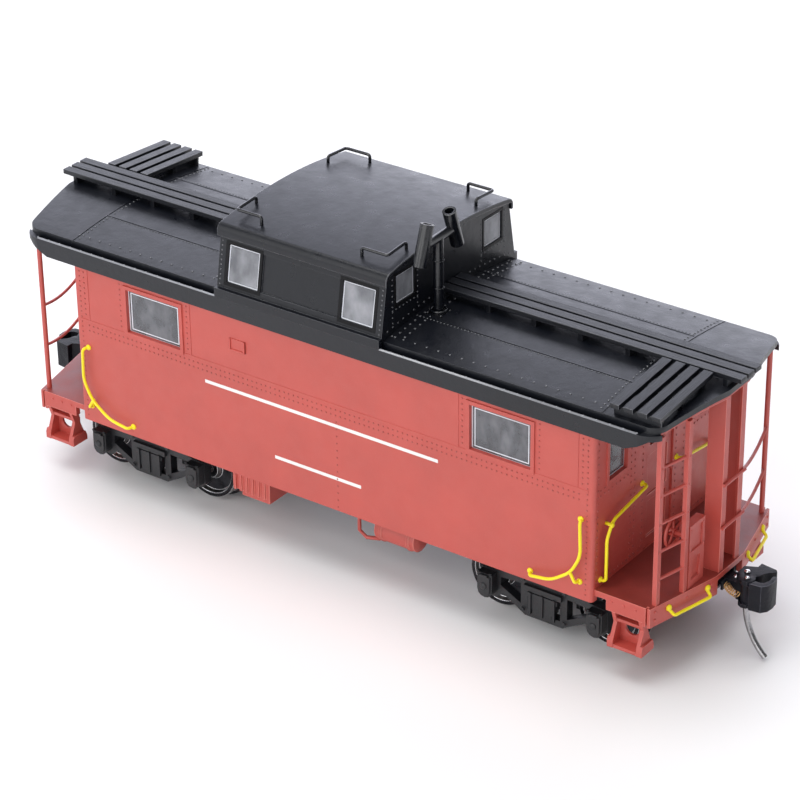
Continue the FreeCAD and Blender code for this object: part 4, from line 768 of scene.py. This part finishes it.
def cupola_frames():
    """Narrow sashes round the cupola's end windows and side windows."""
    bm = bmesh.new()
    lean = math.atan2(CUPOLA_FOOT_Y - CUPOLA_HEAD_Y, CUPOLA_HEAD - CUPOLA_FOOT)
    for x, way in zip(CUPOLA_ENDS, (-1, 1)):
        for side in (-1, 1):
            centre = Vector((x, END_WINDOW_Y * side, END_WINDOW_Z))
            frame_of(bm, centre, END_WINDOW_HALF, Vector((way, 0, 0)), Vector((0, 0, 1)), 0.4 * MM, 0.06 * MM)
    middle = (CUPOLA_ENDS[0] + CUPOLA_ENDS[1]) / 2
    y = CUPOLA_FOOT_Y - (SIDE_WINDOW_Z - CUPOLA_FOOT) * math.tan(lean)
    for side in (-1, 1):
        normal = Vector((0, math.cos(lean) * side, math.sin(lean)))
        up = Vector((0, -math.sin(lean) * side, math.cos(lean)))
        for way in (-1, 1):
            centre = Vector((middle + SIDE_WINDOW_X * way, y * side, SIDE_WINDOW_Z))
            frame_of(bm, centre, SIDE_WINDOW_HALF, normal, up, 0.5 * MM, 0.05 * MM)
    return piece_of(bm, "cupola_window_frames", sash_black, "car_body", 0.02)


def eaves_beads():
    """The rounded upper edge of each eaves board, with small nail heads along it, in grey as a painted
    highlight.
    """
    _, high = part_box("main_roof")
    bm = bmesh.new()
    for side in (-1, 1):
        y, z = (high.y - 0.25 * MM) * side, FASCIA_TOP - 0.1 * MM
        tube(bm, [(-BEAD_X, y, z), (BEAD_X, y, z)], 0.25 * MM, 12)
        for point in row((-BEAD_X, y, z), (BEAD_X, y, z), 2.0 * MM):
            dome(bm, point + Vector((0, 0, 0.22 * MM)), (0, 0, 1), 0.14 * MM, 0.09 * MM, 6)
    return piece_of(bm, "eaves_beads", bead_highlight_grey, "car_body")


def circle(x, y, z, radius, steps):
    """A closed level circle of points."""
    angles = (2 * math.pi * index / steps for index in range(steps + 1))
    return [(x + radius * math.cos(angle), y + radius * math.sin(angle), z) for angle in angles]


def jack_fittings():
    """The flashing ring, its bolts and the two bands of the smoke jack."""
    low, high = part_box("smoke_jack")
    x, y = (low.x + high.x) / 2, (low.y + high.y) / 2
    z = roof_z(y)
    bm = bmesh.new()
    tube(bm, circle(x, y, z + 0.35 * MM, 1.05 * MM, 24), 0.17 * MM, 8)
    for index in range(4):
        angle = math.pi * (0.25 + 0.5 * index)
        dome(bm, (x + 1.5 * MM * math.cos(angle), y + 1.5 * MM * math.sin(angle), z), (0, 0, 1),
             0.24 * MM, 0.2 * MM, 10)
    for height in (43.6, 47.6):
        tube(bm, circle(x, y, height * MM, 0.72 * MM, 20), 0.09 * MM, 6)
    return piece_of(bm, "jack_fittings", jack_black, "car_body")


roof_seams()
roof_rivets()
cupola_rivets()
cupola_frames()
jack_fittings()
eaves_beads()

# ---------------------------------------------------------------- end platforms and grab irons

SILL_FACE_X = 55.3
SILL_CORNER_X = 52.4
SILL_FLAT_Y = 3.5
SILL_CORNER_Y = 15.54
SILL_SLOPE = (SILL_FACE_X - SILL_CORNER_X) / (SILL_CORNER_Y - SILL_FLAT_Y)
SIDE_GRAB_FEET = ((41.9, 22.7), (34.2, 12.1), (41.9, 13.2))
DOOR_GRAB_FEET = ((4.3, 23.1), (14.2, 13.3))
SILL_GRAB_FEET = ((5.2, 11.3), (12.2, 11.3))
SILL_BOLTS = ((14.6, 10.4), (14.6, 11.6), (4.4, 11.4), (8.8, 11.4))
SIDE_SILL_BOLTS_X = (46.6, 48.4, 50.2)


def at_end(way, point):
    """A point at end a, or turned half a turn about Z to end b."""
    return Vector((point[0] * way, point[1] * way, point[2]))


def sill_x(y):
    """Where an end sill's face stands at a distance from the middle line, in millimetres."""
    return SILL_FACE_X - SILL_SLOPE * (y - SILL_FLAT_Y)


def sill_normal(way, side):
    """The direction straight out of the slanted part of an end sill."""
    return Vector((way, SILL_SLOPE * side, 0)).normalized()


def grab_feet():
    """The rounded pads where each grab iron meets the wall or the sill, and the door rails' middle feet."""
    bm = bmesh.new()
    for way in (-1, 1):
        for side in (-1, 1):
            for x, z in SIDE_GRAB_FEET:
                centre = Vector((x * way, BODY_Y / MM * side, z)) * MM
                dome(bm, centre, (0, side, 0), 0.46 * MM, 0.34 * MM, 12)
            for y, z in DOOR_GRAB_FEET:
                centre = Vector((BODY_X / MM * way, y * side, z)) * MM
                dome(bm, centre, (way, 0, 0), 0.46 * MM, 0.34 * MM, 12)
            for y, z in SILL_GRAB_FEET:
                centre = Vector((sill_x(y) * way, y * side, z)) * MM
                dome(bm, centre, sill_normal(way, side), 0.48 * MM, 0.4 * MM, 12)
            middle = Vector((44.9 * way, 13.15 * side, 21.4)) * MM
            tube(bm, [middle, middle - Vector((1.1 * way * MM, 0, 0))], 0.25 * MM, 8)
            dome(bm, middle, (way, 0, 0), 0.4 * MM, 0.3 * MM, 12)
    return piece_of(bm, "grab_feet", yellow, "car_body")


def platform_rivets():
    """Bolt heads on the end sills and side sills."""
    bm = bmesh.new()
    for _, way in ENDS:
        for side in (-1, 1):
            for y, z in SILL_BOLTS:
                centre = Vector((sill_x(y) * way, y * side, z)) * MM
                dome(bm, centre, sill_normal(way, side), 0.24 * MM, 0.16 * MM, 10)
            for x in SIDE_SILL_BOLTS_X:
                centre = Vector((x * way, SILL_CORNER_Y * side, 11.5)) * MM
                dome(bm, centre, (0, side, 0), 0.2 * MM, 0.12 * MM, 10)
    return piece_of(bm, "sill_bolts", red, "car_body")


def brake_chains():
    """The brake chain and the corner bolts of each brake stand."""
    x, y, top, pitch = 52.0, -6.6, 17.2, 0.52
    bm = bmesh.new()
    for _, way in ENDS:
        for index in range(9):
            z = top - index * pitch
            link = []
            for step in range(13):
                angle = 2 * math.pi * step / 12
                wide, tall = 0.2 * math.cos(angle), 0.33 * math.sin(angle)
                offset = (wide, 0) if index % 2 else (0, wide)
                link.append(at_end(way, Vector((x + offset[0], y + offset[1], z + tall)) * MM))
            tube(bm, link, 0.06 * MM, 6)
        for y_out, z in ((-8.1, 21.2), (-5.1, 21.2), (-8.1, 17.9), (-5.1, 17.9)):
            centre = at_end(way, Vector((53.85, y_out, z)) * MM)
            dome(bm, centre, (way, 0, 0), 0.15 * MM, 0.1 * MM, 8)
    return piece_of(bm, "brake_chains", red, "car_body")


def ladder_bolts():
    """Bolt heads where the rungs meet the stiles."""
    bm = bmesh.new()
    for _, way in ENDS:
        for y, x in ((-14.0, 52.62), (-9.15, 53.79)):
            for index in range(5):
                z = 16.1 + 4.15 * index
                centre = at_end(way, Vector((x, y, z)) * MM)
                dome(bm, centre, (way, 0, 0), 0.17 * MM, 0.1 * MM, 8)
    return piece_of(bm, "ladder_bolts", red, "car_body")


grab_feet()
platform_rivets()
brake_chains()
ladder_bolts()

# ---------------------------------------------------------------- underfloor rigging


def brake_rigging():
    """Pull rods, a train pipe and hangers below the floor."""
    bm = bmesh.new()
    rods = (
        ((-26, 3.6, 8.6), (4.0, 3.6, 8.6)),
        ((4.0, 10.0, 8.6), (15, 4.0, 8.6), (27, 2.0, 8.6)),
    )
    for route in rods:
        tube(bm, [Vector(point) * MM for point in route], 0.22 * MM, 8)
    half_pipe = ((38, 5.2, 11.0), (42, 4.6, 10.6), (45.5, 2.9, 9.2))
    pipe = [(-x, y, z) for x, y, z in reversed(half_pipe)] + list(half_pipe)
    tube(bm, [Vector(point) * MM for point in pipe], 0.3 * MM, 10)
    for x in (-18, -6, 6, 18):
        block(bm, Vector((x - 0.25, 4.8, 10.6)) * MM, Vector((x + 0.25, 5.6, 11.65)) * MM)
    return piece_of(bm, "brake_rigging", floor_black, "car_body")


def hanger():
    """A small bent strap beside the reservoir."""
    bm = bmesh.new()
    route = [(3.4, -12.4, 11.2), (3.4, -12.4, 6.0), (4.6, -12.4, 5.2), (6.8, -12.2, 5.6)]
    tube(bm, [Vector(point) * MM for point in route], 0.28 * MM, 8)
    tube(bm, [Vector(point) * MM for point in ((2.6, -12.4, 9.4), (5.4, -12.4, 8.8))], 0.24 * MM, 8)
    return piece_of(bm, "reservoir_strap", red, "car_body")


brake_rigging()
hanger()

# ---------------------------------------------------------------- trucks


FRAME_BOLTS = ((-3.3, 3.2), (-3.3, 8.0), (3.3, 3.2), (3.3, 8.0))
SPRING_BANDS_X = (-1.9, 0, 1.9)
SHOE_FROM_AXLE = 5.25


def truck_detail(end, way):
    """Bolts, box lids, spring bands and brake shoes of one truck."""
    bm = bmesh.new()
    for side in (-1, 1):
        out = Vector((0, side, 0))

        def spot(x, y, z):
            """A place beside this truck's pivot, in millimetres along the car from it."""
            return Vector((TRUCK_X / MM * way + x, y * side, z)) * MM

        for x, z in FRAME_BOLTS:
            bolt(bm, spot(x, 12.6, z), out, 0.34 * MM, 0.34 * MM)
        for x in (-AXLE_X, AXLE_X):
            lid = spot(x, 14.2, 5.6)
            dome(bm, lid, out, 0.55 * MM, 0.22 * MM, 14)
            tube(bm, [spot(x - 0.6, 14.1, 7.2), spot(x + 0.6, 14.1, 7.2)], 0.2 * MM, 8)
            for dx in (-0.95, 0.95):
                bolt(bm, spot(x + dx, 13.9, 7.55), Vector((0, 0, 1)), 0.22 * MM, 0.28 * MM)
        for x in SPRING_BANDS_X:
            low = spot(x - 0.22, 12.9, 3.2)
            high = spot(x + 0.22, 13.3, 6.6)
            ys = sorted((low.y, high.y))
            block(bm, (low.x, ys[0], low.z), (high.x, ys[1], high.z))
        for axle in (-1, 1):
            x = AXLE_X * axle - SHOE_FROM_AXLE * axle
            base = spot(x, 8.7, 5.5)
            xs = sorted((base.x - 0.25 * MM, base.x + 0.35 * MM))
            ys = sorted((base.y - 0.9 * MM, base.y + 0.9 * MM))
            block(bm, (xs[0], ys[0], 4.0 * MM), (xs[1], ys[1], 7.4 * MM))
    return piece_of(bm, f"truck_fittings_{end}", truck_black, f"truck_{end}", 0.03)


for end, way in ENDS:
    truck_detail(end, way)

# ---------------------------------------------------------------- couplers

SPRING_START = (55.7, -1.62, 10.25)
SPRING_FINISH = (58.1, -2.62, 9.95)


def coil(end, way):
    """The knuckle's coil spring, in place of its plain tube. It bows a little outward."""
    start, finish = (at_end(way, Vector(point) * MM) for point in (SPRING_START, SPRING_FINISH))
    wire = 0.08 * MM
    radius = 0.45 * MM
    along = (finish - start).normalized()
    over = Vector((0, 0, 1))
    across = along.cross(over).normalized()
    over = across.cross(along)
    turns, steps = 7, 20
    points = []
    for index in range(turns * steps + 1):
        share = index / (turns * steps)
        angle = 2 * math.pi * turns * share
        middle = start.lerp(finish, 0.04 + 0.92 * share) + across * (0.2 * MM * math.sin(math.pi * share))
        points.append(middle + (over * math.cos(angle) + across * math.sin(angle)) * radius)
    bm = bmesh.new()
    tube(bm, points, wire, 8)
    piece = piece_of(bm, f"coil_spring_{end}", bronze, f"coupler_{end}")
    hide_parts(f"knuckle_spring_{end}")
    return piece


def coupler_pins(end, way):
    """The bright pin heads on top of the coupler and its shank."""
    _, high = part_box(f"coupler_head_{end}")
    top = high.z / MM
    bm = bmesh.new()
    for x, y, z, radius in ((58.0, -0.2, 12.4, 0.42), (58.75, -1.55, top, 0.34), (56.15, 0.1, 10.8, 0.4)):
        centre = at_end(way, Vector((x, y, z)) * MM)
        dome(bm, centre, (0, 0, 1), radius * MM, 0.2 * MM, 16)
    return piece_of(bm, f"coupler_pins_{end}", bright_steel, f"coupler_{end}")


for end, way in ENDS:
    coil(end, way)
    coupler_pins(end, way)

# ---------------------------------------------------------------- floor, light and camera


def stage():
    """A pale floor."""
    bpy.ops.mesh.primitive_plane_add(size=6, location=(0, 0, 0))
    floor = bpy.context.object
    floor.name = "floor"
    shader = Shader("floor_white", Roughness=0.7)
    shader.colour(shader.mix(shader.noise(0.01), (0.88, 0.88, 0.89), (0.92, 0.92, 0.92)))
    floor.data.materials.append(shader.material)


def soft_light(name, direction, distance, size, brightness, colour):
    """A rectangular card of even brightness that looks at the middle of the model."""
    light = bpy.data.lights.new(name, "AREA")
    light.shape = "RECTANGLE"
    light.size, light.size_y = size
    light.energy = 4 * size[0] * size[1] * brightness
    light.color = colour
    lamp = bpy.data.objects.new(name, light)
    middle = Vector((0, 0, 0.02))
    lamp.location = middle + Vector(direction).normalized() * distance
    lamp.rotation_euler = (middle - lamp.location).to_track_quat("-Z", "Y").to_euler()
    bpy.context.scene.collection.objects.link(lamp)


# Each light's name, direction from the model, distance, card width and height, brightness and colour.
LIGHTS = (
    ("back", (-0.5, 0.72, 0.40), 1.2, (1.9, 1.0), 1.5, (0.90, 0.92, 1.08)),
    ("front", (-0.1, -0.85, 0.5), 0.9, (1.3, 0.8), 1.3, (1, 1, 1)),
    ("overhead", (-0.1, -0.05, 1.0), 1.1, (0.9, 0.9), 3.0, (1, 1, 1)),
)
HORIZON_BAND = (0.02, 0.32)
HORIZON_STRENGTH = 0.92
OVERHEAD_STRENGTH = 0.2


def world():
    """A studio that is bright along the horizon and dim overhead."""
    backdrop = bpy.data.worlds.new("studio")
    backdrop.use_nodes = True
    tree = backdrop.node_tree
    background = tree.nodes["Background"]
    background.inputs["Color"].default_value = (0.96, 0.97, 1.0, 1)
    direction = tree.nodes.new("ShaderNodeTexCoord")
    split = tree.nodes.new("ShaderNodeSeparateXYZ")
    tree.links.new(direction.outputs["Generated"], split.inputs["Vector"])
    height = tree.nodes.new("ShaderNodeMapRange")
    height.interpolation_type = "SMOOTHSTEP"
    for socket, value in zip(RANGE_SOCKETS, (*HORIZON_BAND, HORIZON_STRENGTH, OVERHEAD_STRENGTH)):
        height.inputs[socket].default_value = value
    tree.links.new(split.outputs["Z"], height.inputs["Value"])
    tree.links.new(height.outputs["Result"], background.inputs["Strength"])
    bpy.context.scene.world = backdrop


CAMERA_ANGLES = (36.07, 28.77, -0.69)
CAMERA_DISTANCE = 418.85 * MM
CAMERA_LENS = 134.77


def camera():
    """A long lens from the front right, above."""
    azimuth, elevation, roll = (math.radians(value) for value in CAMERA_ANGLES)
    right = Vector((math.cos(azimuth), math.sin(azimuth), 0))
    back = Vector((math.sin(azimuth) * math.cos(elevation), -math.cos(azimuth) * math.cos(elevation),
                   math.sin(elevation)))
    up = back.cross(right)
    target = Vector((0, 0, 24 * MM)) + right * (1.28 * MM) + up * (-3.59 * MM)
    rolled_right = right * math.cos(roll) + up * math.sin(roll)
    rolled_up = up * math.cos(roll) - right * math.sin(roll)
    view = Matrix((rolled_right, rolled_up, back)).transposed().to_4x4()
    view.translation = target + back * CAMERA_DISTANCE
    lens = bpy.data.cameras.new("camera")
    lens.sensor_width = 36
    lens.lens = CAMERA_LENS
    lens.clip_start = 0.01
    seen = bpy.data.objects.new("camera", lens)
    seen.matrix_world = view
    bpy.context.scene.collection.objects.link(seen)
    bpy.context.scene.camera = seen


stage()
world()
for card in LIGHTS:
    soft_light(*card)
camera()
bpy.context.scene.view_settings.view_transform = "Standard"
